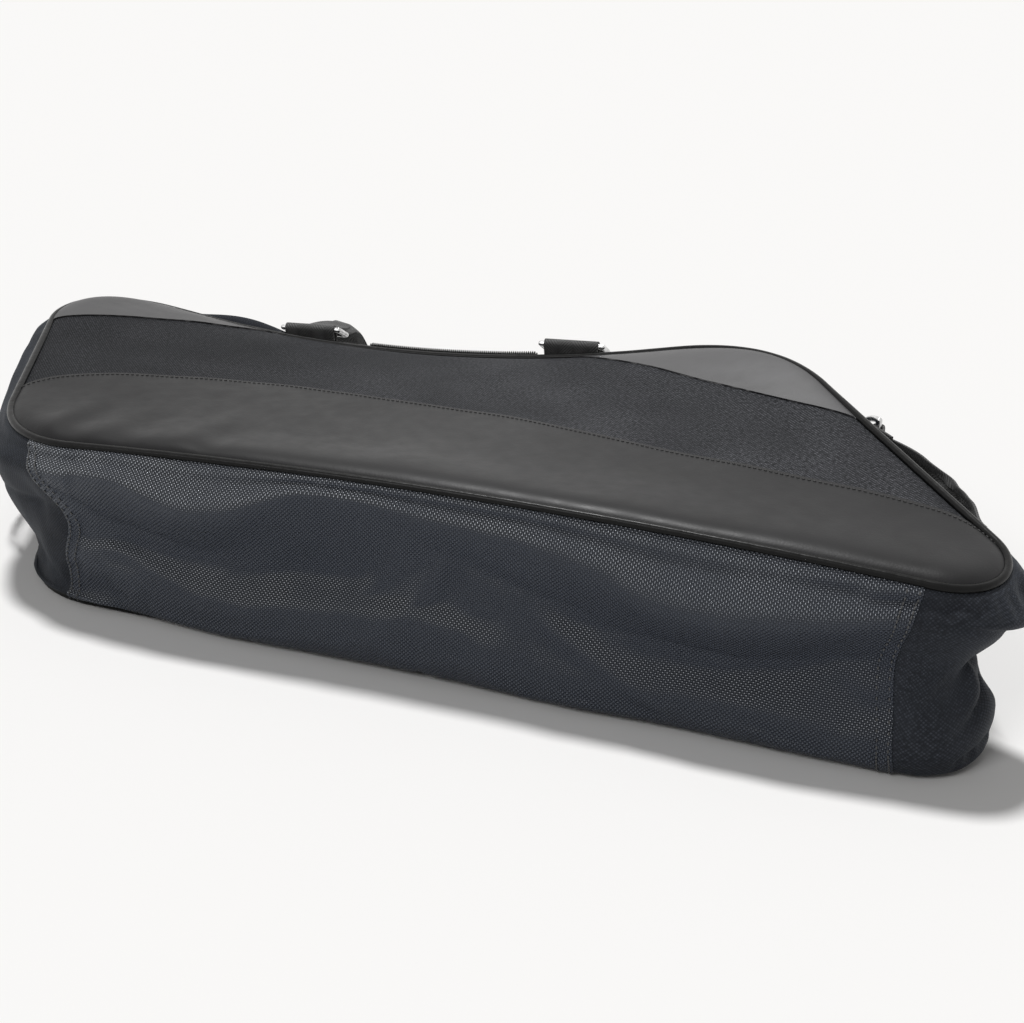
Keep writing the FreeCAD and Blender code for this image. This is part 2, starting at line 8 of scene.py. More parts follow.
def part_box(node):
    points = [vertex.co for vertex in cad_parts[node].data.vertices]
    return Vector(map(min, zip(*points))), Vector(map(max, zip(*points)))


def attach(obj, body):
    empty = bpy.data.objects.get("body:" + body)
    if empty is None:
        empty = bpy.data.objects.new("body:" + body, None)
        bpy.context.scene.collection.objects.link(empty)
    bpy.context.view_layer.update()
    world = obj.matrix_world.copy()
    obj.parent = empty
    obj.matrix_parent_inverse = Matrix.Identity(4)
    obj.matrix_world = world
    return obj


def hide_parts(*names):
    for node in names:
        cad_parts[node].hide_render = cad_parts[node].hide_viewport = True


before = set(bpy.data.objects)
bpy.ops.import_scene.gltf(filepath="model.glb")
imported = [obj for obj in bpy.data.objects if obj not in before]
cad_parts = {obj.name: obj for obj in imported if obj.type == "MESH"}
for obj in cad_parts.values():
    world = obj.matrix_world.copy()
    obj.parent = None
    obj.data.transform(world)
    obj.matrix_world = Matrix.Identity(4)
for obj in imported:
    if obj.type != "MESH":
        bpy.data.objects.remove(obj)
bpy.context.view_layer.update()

# ---- sizes of the bag's pattern, in metres ----

BOTTOM_LENGTH = 0.648
TOP_LENGTH = 0.550
# How far the slumped bag's top edge has moved to the left of its bottom edge.
LEAN = 0.160
# Corners are counted from the lower left one, and go round by the lower right one.
CORNER_RADII = (0.090, 0.038, 0.150, 0.063)
# Heights of the front panel's bottom and top edges over the floor: left, middle and right.
BOTTOM_HEIGHTS = (0.104, 0.119, 0.107)
TOP_HEIGHTS = (0.130, 0.104, 0.152)
PANEL_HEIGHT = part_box("front_piping")[1].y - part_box("front_piping")[0].y

PIPING_RADIUS = 0.00255
CLOTH = 0.0011
LEATHER = 0.0013
STITCH_PITCH = 0.0033
STITCH_LENGTH = 0.0025
STITCH_RADIUS = 0.00055

SEAM_LEFT = -0.206
SEAM_RIGHT = 0.323
ZIP_LEFT = -0.253
ZIP_RIGHT = 0.112
ZIP_HEIGHT = 0.056
MOUTH_LEFT = -0.100
MOUTH_RIGHT = 0.026
MOUTH_FLARE = 0.024
WALL_TOP_DROP = 0.0012
UP = Vector((0.0, 0.0, 1.0))


# ---- curves ----

def through(knots, place):
    """Smooth value at a place along knots, each a place and a value, in rising order."""
    last = len(knots) - 2
    index = 0
    while index < last and place > knots[index + 1][0]:
        index += 1
    before = knots[max(index - 1, 0)]
    start = knots[index]
    end = knots[index + 1]
    after = knots[min(index + 2, last + 1)]
    span = end[0] - start[0]
    t = min(max((place - start[0]) / span, 0.0), 1.0)
    slope_start = (end[1] - before[1]) * (span / (end[0] - before[0]))
    slope_end = (after[1] - start[1]) * (span / (after[0] - start[0]))
    t2 = t * t
    t3 = t2 * t
    return (start[1] * (2 * t3 - 3 * t2 + 1) + slope_start * (t3 - 2 * t2 + t)
            + end[1] * (3 * t2 - 2 * t3) + slope_end * (t3 - t2))


def ease(t):
    t = min(max(t, 0.0), 1.0)
    return t * t * (3 - 2 * t)


def hump(value, middle, reach):
    return math.exp(-((value - middle) / reach) ** 2)


def ruffle(x, y, size, seed):
    """Smooth unevenness from -1 to 1, with lumps of a given size."""
    return noise.noise(Vector((x / size, y / size, seed)))


def waves(rows, x, y):
    """Unevenness of several sizes. Each row is a height, a size and a seed."""
    return sum(height * ruffle(x, y, size, seed) for height, size, seed in rows)


# ---- the panel outline ----

PATTERN_CORNERS = (
    Vector((LEAN / 2 - BOTTOM_LENGTH / 2, -PANEL_HEIGHT / 2)),
    Vector((LEAN / 2 + BOTTOM_LENGTH / 2, -PANEL_HEIGHT / 2)),
    Vector((-LEAN / 2 + TOP_LENGTH / 2, PANEL_HEIGHT / 2)),
    Vector((-LEAN / 2 - TOP_LENGTH / 2, PANEL_HEIGHT / 2)),
)
LOWER_LEFT_SHIFT = Vector((0.005, 0.0))
UPPER_LEFT_SHIFT = Vector((-0.002, 0.0))
CORNERS = (
    PATTERN_CORNERS[0] + LOWER_LEFT_SHIFT,
    PATTERN_CORNERS[1],
    PATTERN_CORNERS[2],
    PATTERN_CORNERS[3] + UPPER_LEFT_SHIFT,
)
BOTTOM, RIGHT, TOP, LEFT = range(4)


def side_way(side):
    return (CORNERS[(side + 1) % 4] - CORNERS[side % 4]).normalized()


def outward(way):
    return Vector((way.y, -way.x))


def corner_turn(corner):
    return math.acos(side_way(corner - 1).dot(side_way(corner)))


def corner_reach(corner):
    """How far a corner's rounding reaches along its two sides."""
    return CORNER_RADII[corner % 4] * math.tan(corner_turn(corner) / 2)


def make_stretches():
    """The outline's sides and rounded corners in turn, each with the distance where it starts."""
    stretches = []
    distance = 0.0
    for side in range(4):
        way = side_way(side)
        start = CORNERS[side] + way * corner_reach(side)
        length = ((CORNERS[(side + 1) % 4] - CORNERS[side]).length
                  - corner_reach(side) - corner_reach(side + 1))
        stretches.append((distance, start, way, 0.0))
        distance += length
        corner = (side + 1) % 4
        radius = CORNER_RADII[corner]
        centre = start + way * length - outward(way) * radius
        stretches.append((distance, centre, outward(way), radius))
        distance += radius * corner_turn(corner)
    return stretches, distance


STRETCHES, PERIMETER = make_stretches()


def outline_at(distance):
    """The outline's point and its outward direction at a distance round it."""
    distance %= PERIMETER
    index = len(STRETCHES) - 1
    while STRETCHES[index][0] > distance:
        index -= 1
    start, place, way, radius = STRETCHES[index]
    along = distance - start
    if radius == 0.0:
        return place + way * along, outward(way)
    turn = along / radius
    out = Vector((way.x * math.cos(turn) - way.y * math.sin(turn),
                  way.x * math.sin(turn) + way.y * math.cos(turn)))
    return place + out * radius, out


def side_start(side):
    return STRETCHES[2 * (side % 4)][0]


def bottom_at(x):
    return side_start(BOTTOM) + x - STRETCHES[0][1].x


def top_at(x):
    return side_start(TOP) + STRETCHES[4][1].x - x


def up_side(side, distance):
    """Distance round the outline at a distance up the right or left side from its lower corner."""
    if side == RIGHT:
        return side_start(RIGHT) + distance - corner_reach(1)
    length = (CORNERS[3] - CORNERS[0]).length
    return side_start(LEFT) + length - distance - corner_reach(3)


def side_x(side, y):
    way = side_way(side)
    return CORNERS[side].x + way.x * (y - CORNERS[side].y) / way.y


def extreme_at(corner, out):
    """Distance round the outline where a corner's rounding faces a given way."""
    start, _centre, way, radius = STRETCHES[(2 * corner - 1) % 8]
    return start + radius * math.acos(max(-1.0, min(1.0, way.dot(out))))


LEFTMOST = extreme_at(3, Vector((-1.0, 0.0)))
RIGHTMOST = extreme_at(1, Vector((1.0, 0.0)))
X_LOW = outline_at(LEFTMOST)[0].x
X_HIGH = outline_at(RIGHTMOST)[0].x
HALVINGS = 40


def outline_y(x, upper, inset):
    """Where the outline, moved inward by inset, passes x: on its upper or its lower half."""
    low = RIGHTMOST if upper else LEFTMOST - PERIMETER
    high = LEFTMOST if upper else RIGHTMOST
    for _step in range(HALVINGS):
        middle = (low + high) / 2
        point, out = outline_at(middle)
        if (point.x - out.x * inset > x) == upper:
            low = middle
        else:
            high = middle
    point, out = outline_at(low)
    return point.y - out.y * inset


def edge_depth(x, y):
    """How far inside the outline a plan point lies."""
    point = Vector((x, y))
    depth = min((CORNERS[side] - point).dot(outward(side_way(side))) for side in range(4))
    for corner in range(4):
        _start, centre, way, radius = STRETCHES[(2 * corner - 1) % 8]
        offset = point - centre
        last = outward(side_way(corner))
        if offset.dot(Vector((-way.y, way.x))) > 0 and offset.dot(Vector((last.y, -last.x))) > 0:
            depth = min(depth, radius - offset.length)
    return depth


TUCK_X = -0.262
TUCK_Y = -0.085
TUCK_REACH = 0.060
TUCK_IN = 0.013
TUCK_UP = 0.001


def tucked(x, y, share=1.0):
    """A place low on the bag, where the lower left corner is drawn in under it."""
    pull = share * hump(x, TUCK_X, TUCK_REACH) * hump(y, TUCK_Y, TUCK_REACH)
    return x + TUCK_IN * pull, y + TUCK_UP * pull


# ---- the front panel's surface ----

def blend_heights(heights, place):
    left, middle, right = heights
    return middle + (right - left) / 2 * place + ((left + right) / 2 - middle) * place * place


def rise(x, y):
    """Height of the front panel's face over the floor, before its small unevenness."""
    up = y / PANEL_HEIGHT + 0.5
    middle = (side_x(RIGHT, y) + side_x(LEFT, y)) / 2
    place = (x - middle) / ((side_x(RIGHT, y) - side_x(LEFT, y)) / 2)
    return blend_heights(BOTTOM_HEIGHTS, place) * (1 - up) + blend_heights(TOP_HEIGHTS, place) * up


PANEL_SINK = 0.0056
SINK_REACH = 0.0036
LOW_EDGE_SWELL = 0.0044
LOW_EDGE_REACH = 0.045
EDGE_SWELL = 0.0010
SWELL_REACH = 0.009
WAVES_FROM = 0.030
PANEL_WAVES = ((0.0018, 0.110, 3.0), (0.0008, 0.045, 7.0))
TOP_SWELL = 0.0018
TOP_CORNER_SWELL = 0.0020
TOP_CORNERS = ((-0.300, 0.075), (0.150, 0.090))
TOP_REACH = 0.035
# Soft upright dents along the lower left edge: place along X, half width and share of the depth,
# which is below 0 for the swells between them.
DENTS = (
    (-0.187, 0.011, 1.0), (-0.150, 0.012, 0.7), (-0.094, 0.014, 0.8),
    (-0.206, 0.009, -0.5), (-0.112, 0.010, -0.4))
DENT_DEPTH = 0.0021
DENT_Y = -0.104
DENT_REACH = 0.024
DENT_FROM = 0.012


def front_skin(x, y):
    """Height of the front nylon: it rolls down to the piping and has soft unevenness."""
    depth = max(edge_depth(x, y), 0.0)
    swell = EDGE_SWELL + LOW_EDGE_SWELL * hump(y, -PANEL_HEIGHT / 2, LOW_EDGE_REACH)
    z = rise(x, y) - PANEL_SINK * math.exp(-depth / SINK_REACH)
    z += swell * (1 - math.exp(-depth / SWELL_REACH))
    z += ease(depth / WAVES_FROM) * waves(PANEL_WAVES, x, y)
    z += top_swell(x, PANEL_HEIGHT / 2 - y)
    dents = sum(share * hump(x, place, width) for place, width, share in DENTS)
    return z - DENT_DEPTH * ease(depth / DENT_FROM) * hump(y, DENT_Y, DENT_REACH) * dents


def top_swell(x, down):
    """The panel swells before it turns down to its top edge, most in the leather corners."""
    if down <= 0:
        return 0.0
    corners = sum(hump(x, place, width) for place, width in TOP_CORNERS)
    most = TOP_SWELL + TOP_CORNER_SWELL * corners
    return most * down / TOP_REACH * math.exp(1 - down / TOP_REACH)


# ---- seams between the nylon field and the leather pieces ----

BAND_LEFT_HEIGHT = 0.070
BAND_SEAM = (
    (-0.251, 0.092), (-0.212, 0.113), (-0.129, 0.139), (-0.040, 0.145), (0.053, 0.138),
    (0.123, 0.122), (0.224, 0.101), (0.301, 0.086), (0.341, 0.072))
BAND_RIGHT_HEIGHT = 0.048
LEFT_CORNER_HEIGHT = 0.176
LEFT_CORNER_SEAM = ((-0.288, 0.200), (-0.243, 0.230), (-0.205, 0.248))
LEFT_CORNER_REACH = 0.190
RIGHT_CORNER_REACH = 0.150
RIGHT_CORNER_HEIGHT = 0.168
RIGHT_CORNER_SEAM = ((0.096, 0.245), (0.158, 0.213), (0.215, 0.188))


def over_bottom(height):
    return height - PANEL_HEIGHT / 2


def on_side(side, height):
    return (side_x(side, over_bottom(height)), over_bottom(height))


def seam_line(start, seam, end):
    return (start,) + tuple((x, over_bottom(height)) for x, height in seam) + (end,)


BAND_LINE = seam_line(on_side(LEFT, BAND_LEFT_HEIGHT), BAND_SEAM, on_side(RIGHT, BAND_RIGHT_HEIGHT))
LEFT_CORNER_LINE = seam_line(
    on_side(LEFT, LEFT_CORNER_HEIGHT), LEFT_CORNER_SEAM,
    (CORNERS[3].x + LEFT_CORNER_REACH, CORNERS[3].y))
RIGHT_CORNER_LINE = seam_line(
    (CORNERS[2].x - RIGHT_CORNER_REACH, CORNERS[2].y), RIGHT_CORNER_SEAM,
    on_side(RIGHT, RIGHT_CORNER_HEIGHT))

FIELD_INSET = 0.0030


def field_edges(x):
    """The edges of a whole panel, a little inside the outline."""
    return outline_y(x, False, FIELD_INSET), outline_y(x, True, FIELD_INSET)


def band_edges(x):
    """The edges of the leather band: the outline below and its seam above."""
    low, high = field_edges(x)
    return low, min(high, through(BAND_LINE, x))


def corner_edges(line):
    """The edges of a leather corner: its seam below and the outline above."""
    def edges(x):
        low, high = field_edges(x)
        return max(low, through(line, x)), high
    return edges


# ---- finishes ----

# Painted shade: colours and gloss fall off towards the bag's left end between these places along X.
FALLOFF_FROM = -0.16
FALLOFF_TO = 0.06
LINT_SHARE = 0.30
LINT_CELL = 0.030
LINT_SIZE = 0.00050
NYLON_PITCH = 0.0016
SQUARE_PITCH = 0.0018
LEATHER_PORE = 0.0011
LEATHER_TINTS = ((1.0, 0.98, 1.06), (1.0, 0.98, 1.08))
SLATE = (0.84, 0.99, 1.44)


def join(tree, node, sockets):
    """Gives each socket of a node a value, or the output that it is joined to."""
    for name, value in dict(sockets).items():
        if isinstance(value, bpy.types.NodeSocket):
            tree.links.new(value, node.inputs[name])
        else:
            node.inputs[name].default_value = value


def add(tree, kind, sockets=(), **settings):
    """A shader node with its settings and its sockets."""
    node = tree.nodes.new("ShaderNode" + kind)
    for name, value in settings.items():
        setattr(node, name, value)
    join(tree, node, sockets)
    return node


def reckon(tree, operation, first, second=0.0):
    return add(tree, "Math", {0: first, 1: second}, operation=operation).outputs[0]


def times(tree, first, second):
    return reckon(tree, "MULTIPLY", first, second)


def mixed(tree, share, first, second):
    """A colour between two, by a share from 0 to 1."""
    return add(tree, "Mix", {0: share, 6: first, 7: second}, data_type="RGBA").outputs[2]


def ranged(tree, value, low, high, to_low=0.0, to_high=1.0):
    return add(tree, "MapRange", {
        "Value": value, "From Min": low, "From Max": high,
        "To Min": to_low, "To Max": to_high}).outputs[0]


def shade(level, tint=(1.0, 1.0, 1.0)):
    """A linear colour from a display level of 0 to 255."""
    value = level / 255
    linear = value / 12.92 if value < 0.04045 else ((value + 0.055) / 1.055) ** 2.4
    return tuple(linear * part for part in tint) + (1.0,)


def new_finish(name, slot):
    """A material with its node tree, its shader and its lengths along the cloth, in metres."""
    material = bpy.data.materials.new(name)
    material.use_nodes = True
    tree = material.node_tree
    shader = tree.nodes["Principled BSDF"]
    cloth = add(tree, "UVMap", uv_map="cloth").outputs[0]
    return (material, slot), tree, shader, cloth


def place_of(tree):
    """The place on the bag, for patterns that don't follow the cloth."""
    return add(tree, "TexCoord").outputs["Object"]


def ridge(tree, coordinate):
    """Height of round threads side by side: 1 on a thread's top and 0 between two."""
    return reckon(tree, "ABSOLUTE", reckon(tree, "SINE", times(tree, coordinate, math.pi)))


def slanting_weave(tree, cloth, pitch):
    """Height of threads that cross at a slant: 1 on a crossing and 0 between threads."""
    turned = add(tree, "Mapping", {
        "Vector": cloth, "Rotation": (0.0, 0.0, math.radians(45)),
        "Scale": (1 / pitch, 1 / pitch, 1.0)}).outputs[0]
    parts = add(tree, "SeparateXYZ", {0: turned})
    return times(tree, ridge(tree, parts.outputs[0]), ridge(tree, parts.outputs[1]))


def soft_noise(tree, vector, size, detail=2.0):
    return add(tree, "TexNoise", {
        "Vector": vector, "Scale": 1 / size, "Detail": detail}).outputs[0]


def lint(tree, cloth, cell, size):
    """A few pale specks: 1 on a speck and 0 elsewhere."""
    cells = add(tree, "TexVoronoi", {"Vector": cloth, "Scale": 1 / cell})
    draw = add(tree, "SeparateXYZ", {0: cells.outputs["Color"]}).outputs[0]
    chosen = reckon(tree, "LESS_THAN", draw, LINT_SHARE)
    near = reckon(tree, "LESS_THAN", cells.outputs["Distance"], size / cell)
    return times(tree, chosen, near)


def bump(tree, shader, height, distance, strength=1.0, before=None):
    sockets = {"Height": height, "Distance": distance, "Strength": strength}
    if before:
        sockets["Normal"] = before
    normal = add(tree, "Bump", sockets).outputs[0]
    tree.links.new(normal, shader.inputs["Normal"])
    return normal


def painted_falloff(tree, shader, colour, gloss, left, right):
    """Painted light: colour and gloss that grow a little from the bag's left end to its middle and
    right, so the left end carries painted shade.
    """
    along = add(tree, "SeparateXYZ", {0: place_of(tree)}).outputs[0]
    share = ranged(tree, along, FALLOFF_FROM, FALLOFF_TO, left, right)
    paler = add(tree, "VectorMath", {0: colour, "Scale": share}, operation="SCALE").outputs[0]
    join(tree, shader, {
        "Base Color": paler, "Specular IOR Level": times(tree, share, gloss)})


def make_nylon(name, level, tint, gloss, lift, falloff_ends):
    """Plain woven nylon: fine crossing threads with painted glints on them, faint clouding and a
    little lint.
    """
    finish, tree, shader, cloth = new_finish(name, "nylon")
    weave = slanting_weave(tree, cloth, NYLON_PITCH)
    cloud = soft_noise(tree, cloth, 0.030, 4.0)
    fibre = soft_noise(tree, cloth, 0.0022)
    base = mixed(
        tree, ranged(tree, cloud, 0.35, 0.65), shade(level - 7, tint), shade(level + 5, tint))
    # Painted glints: pale specks on the thread crossings, lift above the level, stronger in broad
    # patches.
    glint = ranged(tree, soft_noise(tree, cloth, 0.070, 1.0), 0.38, 0.66, 0.55, 1.0)
    weave_glints = times(tree, times(tree, ranged(tree, fibre, 0.35, 0.70), glint), weave)
    base = mixed(tree, weave_glints, base, shade(level + lift, tint))
    colour = mixed(tree, lint(tree, cloth, LINT_CELL, LINT_SIZE), base, shade(190))
    painted_falloff(tree, shader, colour, 0.14, *falloff_ends)
    join(tree, shader, {
        "Roughness": ranged(tree, fibre, 0.3, 0.7, gloss, gloss + 0.12),
        "Specular Tint": (0.86, 0.90, 1.0, 1.0), "Sheen Weight": 0.03,
        "Sheen Roughness": 0.45, "Sheen Tint": (0.80, 0.90, 1.0, 1.0)})
    fine = bump(tree, shader, weave, 0.00018, 0.8)
    bump(tree, shader, cloud, 0.0008, 0.5, fine)
    return finish


def make_coated():
    """Coated basket-weave cloth: slanting raised squares, with painted glints on their tops and
    painted shade between them where the wall's faces lean up.
    """
    finish, tree, shader, cloth = new_finish("basket_weave", "coated_nylon")
    square = slanting_weave(tree, cloth, SQUARE_PITCH)
    fibre = soft_noise(tree, cloth, 0.0012)
    cloud = soft_noise(tree, cloth, 0.040, 3.0)
    tone = times(tree, ranged(tree, square, 0.25, 0.95), ranged(tree, cloud, 0.3, 0.7, 0.7, 1.0))
    colour = mixed(tree, tone, shade(39, SLATE), shade(57, SLATE))
    # Painted light: on faces that lean up, the squares' tops get painted glints and the cloth
    # between them painted shade.
    painted_glint = add(tree, "Attribute", attribute_name="painted_glint").outputs["Fac"]
    painted_glint = times(tree, painted_glint, ranged(tree, cloud, 0.35, 0.60, 0.55, 1.0))
    colour = mixed(tree, times(tree, painted_glint, 0.85), colour, shade(14))
    glint_tops = times(tree, ranged(tree, square, 0.76, 0.96), painted_glint)
    rough = reckon(tree, "ADD", ranged(tree, fibre, 0.3, 0.7, 0.14, 0.24),
                   ranged(tree, square, 0.3, 0.9, 0.25, 0.0))
    join(tree, shader, {
        "Base Color": mixed(tree, glint_tops, colour, shade(228, (0.96, 0.99, 1.06))),
        "Roughness": rough, "Specular IOR Level": 0.50,
        "Specular Tint": (0.88, 0.94, 1.0, 1.0)})
    fine = bump(tree, shader, square, 0.00075)
    bump(tree, shader, fibre, 0.00010, 0.5, fine)
    return finish


def make_leather(name, level, gloss):
    """Smooth coated leather with fine grain and soft scuffs."""
    finish, tree, shader, cloth = new_finish(name, "leather")
    pores = add(tree, "TexVoronoi", {"Vector": cloth, "Scale": 1 / LEATHER_PORE})
    cloud = soft_noise(tree, cloth, 0.050, 5.0)
    scuff = soft_noise(tree, cloth, 0.012, 6.0)
    tone = ranged(tree, reckon(tree, "ADD", cloud, times(tree, scuff, 0.5)), 0.55, 0.95)
    dark, pale = LEATHER_TINTS
    colour = mixed(tree, tone, shade(level - 5, dark), shade(level + 5, pale))
    # Painted shade towards the bag's left end.
    painted_falloff(tree, shader, colour, gloss, 0.68, 1.0)
    join(tree, shader, {"Roughness": ranged(tree, scuff, 0.3, 0.7, 0.38, 0.46)})
    fine = bump(tree, shader, pores.outputs["Distance"], 0.00010, 0.30)
    bump(tree, shader, cloud, 0.0012, 0.4, fine)
    return finish


def make_vinyl():
    finish, tree, shader, cloth = new_finish("piping_vinyl", "piping")
    cloud = soft_noise(tree, cloth, 0.006, 3.0)
    join(tree, shader, {
        "Base Color": mixed(tree, ranged(tree, cloud, 0.3, 0.7), shade(6), shade(14)),
        "Roughness": ranged(tree, cloud, 0.3, 0.7, 0.26, 0.36), "Specular IOR Level": 0.15})
    bump(tree, shader, cloud, 0.0004, 0.6)
    return finish


def make_webbing(name, slot, level, pitch):
    """Herringbone webbing: slanting ribs that turn back at each stripe, across cross threads."""
    finish, tree, shader, cloth = new_finish(name, slot)
    parts = add(tree, "SeparateXYZ", {0: cloth})
    stripe = 5 * pitch
    across = reckon(tree, "PINGPONG", parts.outputs[1], stripe)
    slant = reckon(tree, "DIVIDE", reckon(tree, "ADD", parts.outputs[0], across), pitch)
    edge = ridge(tree, reckon(tree, "DIVIDE", parts.outputs[1], stripe))
    height = times(tree, ridge(tree, slant), reckon(tree, "POWER", edge, 0.3))
    fibre = soft_noise(tree, cloth, 0.0010)
    tone = times(tree, height, ranged(tree, fibre, 0.3, 0.7, 0.6, 1.0))
    join(tree, shader, {
        "Base Color": mixed(tree, tone, shade(level - 18), shade(level + 16)),
        "Roughness": 0.55, "Sheen Weight": 0.12})
    fine = bump(tree, shader, height, 0.00035, 0.9)
    bump(tree, shader, fibre, 0.0001, 0.5, fine)
    return finish


def make_thread(name, slot, level):
    finish, tree, shader, _cloth = new_finish(name, slot)
    twist = soft_noise(tree, place_of(tree), 0.0008)
    join(tree, shader, {
        "Base Color": mixed(tree, twist, shade(level - 15), shade(level + 15)),
        "Roughness": 0.6})
    bump(tree, shader, twist, 0.0001, 0.5)
    return finish


def make_steel():
    """Plated steel with small dull clouds."""
    finish, tree, shader, _cloth = new_finish("plated_steel", "metal")
    dull = soft_noise(tree, place_of(tree), 0.004, 4.0)
    join(tree, shader, {
        "Base Color": mixed(tree, ranged(tree, dull, 0.35, 0.65), shade(178), shade(222)),
        "Metallic": 1.0, "Roughness": ranged(tree, dull, 0.3, 0.7, 0.16, 0.32)})
    bump(tree, shader, dull, 0.00008, 0.4)
    return finish


# The last pair of each nylon gives its painted light at the bag's left end and at its middle and
# right.
NYLON = make_nylon("woven_nylon", 14, (0.97, 0.98, 1.07), 0.62, 96, (0.62, 1.10))
GUSSET = make_nylon("end_nylon", 30, (0.88, 0.98, 1.20), 0.60, 46, (0.92, 1.15))
COATED = make_coated()
LEATHER_SKIN = make_leather("smooth_leather", 19, 0.21)
# The top corners are a paler copy of the band's leather: painted sheen where they face the light.
SHEENED_CORNER_LEATHER = make_leather("corner_leather_painted_sheen", 45, 0.76)
PIPING = make_vinyl()
WEBBING_BLACK = make_webbing("herringbone_webbing", "webbing", 38, 0.0022)
GRIP = make_webbing("grip_cloth", "webbing", 34, 0.0010)
BINDING_TAPE = make_webbing("binding_tape", "binding", 40, 0.0008)
ZIP_TAPE = make_webbing("zip_tape_weave", "zip_tape", 38, 0.0009)
ZIP_COIL = make_thread("zip_coil_nylon", "zip_coil", 42)
# Dark thread drawn grey for the bottom seams: a painted glint.
GLINTING_THREAD = make_thread("thread_painted_glint", "nylon", 70)
DARK_THREAD = make_thread("dark_thread", "leather", 26)
METAL = make_steel()


# ---- making meshes ----

def show(name, data):
    """A new object in the scene."""
    obj = bpy.data.objects.new(name, data)
    bpy.context.scene.collection.objects.link(obj)
    return obj


def mesh_of(name, bm):
    mesh = bpy.data.meshes.new(name)
    bm.to_mesh(mesh)
    bm.free()
    return mesh


def soften(obj, width, segments, angle):
    """Rounds the edges that are sharper than an angle in degrees."""
    edge = obj.modifiers.new("edges", "BEVEL")
    edge.width = width
    edge.segments = segments
    edge.limit_method = "ANGLE"
    edge.angle_limit = math.radians(angle)


def add_bead(bm, place):
    """A small ball of radius 1, moved, turned and stretched into place."""
    bmesh.ops.create_icosphere(bm, subdivisions=1, radius=1.0, matrix=place)


MERGE_GAP = 0.00002
LEAST_GAP = 0.0003


def finish_piece(name, bm, finish, body, rounded=True):
    """Makes a piece of a mesh. Where the name is a solid's, the piece takes that solid's place."""
    material, slot = finish
    mesh = mesh_of(name, bm)
    if rounded:
        mesh.shade_smooth()
    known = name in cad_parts
    obj = show(name + "_finished" if known else name, mesh)
    mesh.materials.append(material)
    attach(obj, body)
    if known:
        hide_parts(name)
    return obj


def shaped_grid(columns, rows, place, closed=False):
    """A grid of cells whose corners move to place(across, up), which also gives cloth lengths."""
    bm = bmesh.new()
    cloth = bm.loops.layers.uv.new("cloth")
    bmesh.ops.create_grid(bm, x_segments=columns, y_segments=rows, size=0.5)
    lengths = {}
    for vert in bm.verts:
        point, along, over = place(vert.co.x + 0.5, vert.co.y + 0.5)
        vert.co = point
        lengths[vert.index] = (along, over)
    for face in bm.faces:
        for loop in face.loops:
            loop[cloth].uv = lengths[loop.vert.index]
    if closed:
        bmesh.ops.remove_doubles(bm, verts=bm.verts, dist=MERGE_GAP)
    return bm


def capped_tube(name, columns, rows, place, finish, body):
    """A closed tube whose two ends are filled."""
    bm = shaped_grid(columns, rows, place, closed=True)
    bmesh.ops.holes_fill(bm, edges=[edge for edge in bm.edges if edge.is_boundary])
    return finish_piece(name, bm, finish, body)


def grid_sheet(name, columns, rows, place, finish, body, thickness=CLOTH, offset=-1.0, rim=0.0):
    """A cloth piece: a shaped grid given a thickness, with its cut edges rounded by rim."""
    bm = shaped_grid(columns, rows, place)
    obj = finish_piece(name, bm, finish, body)
    wall = obj.modifiers.new("thickness", "SOLIDIFY")
    wall.thickness = thickness
    wall.offset = offset
    if rim:
        soften(obj, rim, 3, 50)
    return obj


def crowd(t):
    """Moves shares from 0 to 1 closer together near both ends."""
    return (1 - math.cos(math.pi * t)) / 2


def panel_piece(name, edges, span, cells, height, finish, thickness, rim=0.0):
    """One cut piece of a panel between two edges that run along X; height gives its outer face."""
    low_x, high_x = span

    def place(across, up):
        x = low_x + (high_x - low_x) * crowd(across)
        low, high = edges(x)
        gap = max(high - low, LEAST_GAP)
        y = (low + high - gap) / 2 + gap * crowd(up)
        return Vector((x, y, height(x, y))), x, y

    return grid_sheet(name, *cells, place, finish, "bag", thickness, rim=rim)


# ---- stitches ----

SEAM_STEPS = 60
SLOPE_STEP = 0.001


def stitch_rows(name, rows, finish):
    """Short threads along seams. Each row is a length and a function of distance along it,
    which gives a point and the direction out of the cloth."""
    bm = bmesh.new()
    for length, at in rows:
        count = int(length / STITCH_PITCH)
        for index in range(count):
            middle = (index + 0.5) * length / count
            start, _out = at(middle - STITCH_LENGTH / 2)
            end, _out = at(middle + STITCH_LENGTH / 2)
            point, out = at(middle)
            along = (end - start).normalized()
            side = out.cross(along).normalized()
            turn = Matrix((along, side, along.cross(side))).transposed().to_4x4()
            size = Matrix.Diagonal((STITCH_LENGTH / 2, STITCH_RADIUS, STITCH_RADIUS, 1.0))
            add_bead(bm, Matrix.Translation(point) @ turn @ size)
    finish_piece(name, bm, finish, "bag")


def seam_stitches(line, inset, height):
    """A row along a panel seam that runs by X, moved sideways from the seam's edge."""
    low = line[0][0]
    high = line[-1][0]
    places = [low + (high - low) * index / SEAM_STEPS for index in range(SEAM_STEPS + 1)]
    knots = [(0.0, low)]
    for start, end in zip(places, places[1:]):
        step = math.hypot(end - start, through(line, end) - through(line, start))
        knots.append((knots[-1][0] + step, end))

    def at(distance):
        x = through(knots, distance)
        slope = (through(line, x + SLOPE_STEP) - through(line, x - SLOPE_STEP)) / SLOPE_STEP / 2
        out = Vector((-slope, 1.0)).normalized() * inset
        place = Vector((x, through(line, x))) + out
        return Vector((place.x, place.y, height(place.x, place.y))), UP

    return knots[-1][0], at


# ---- walls ----

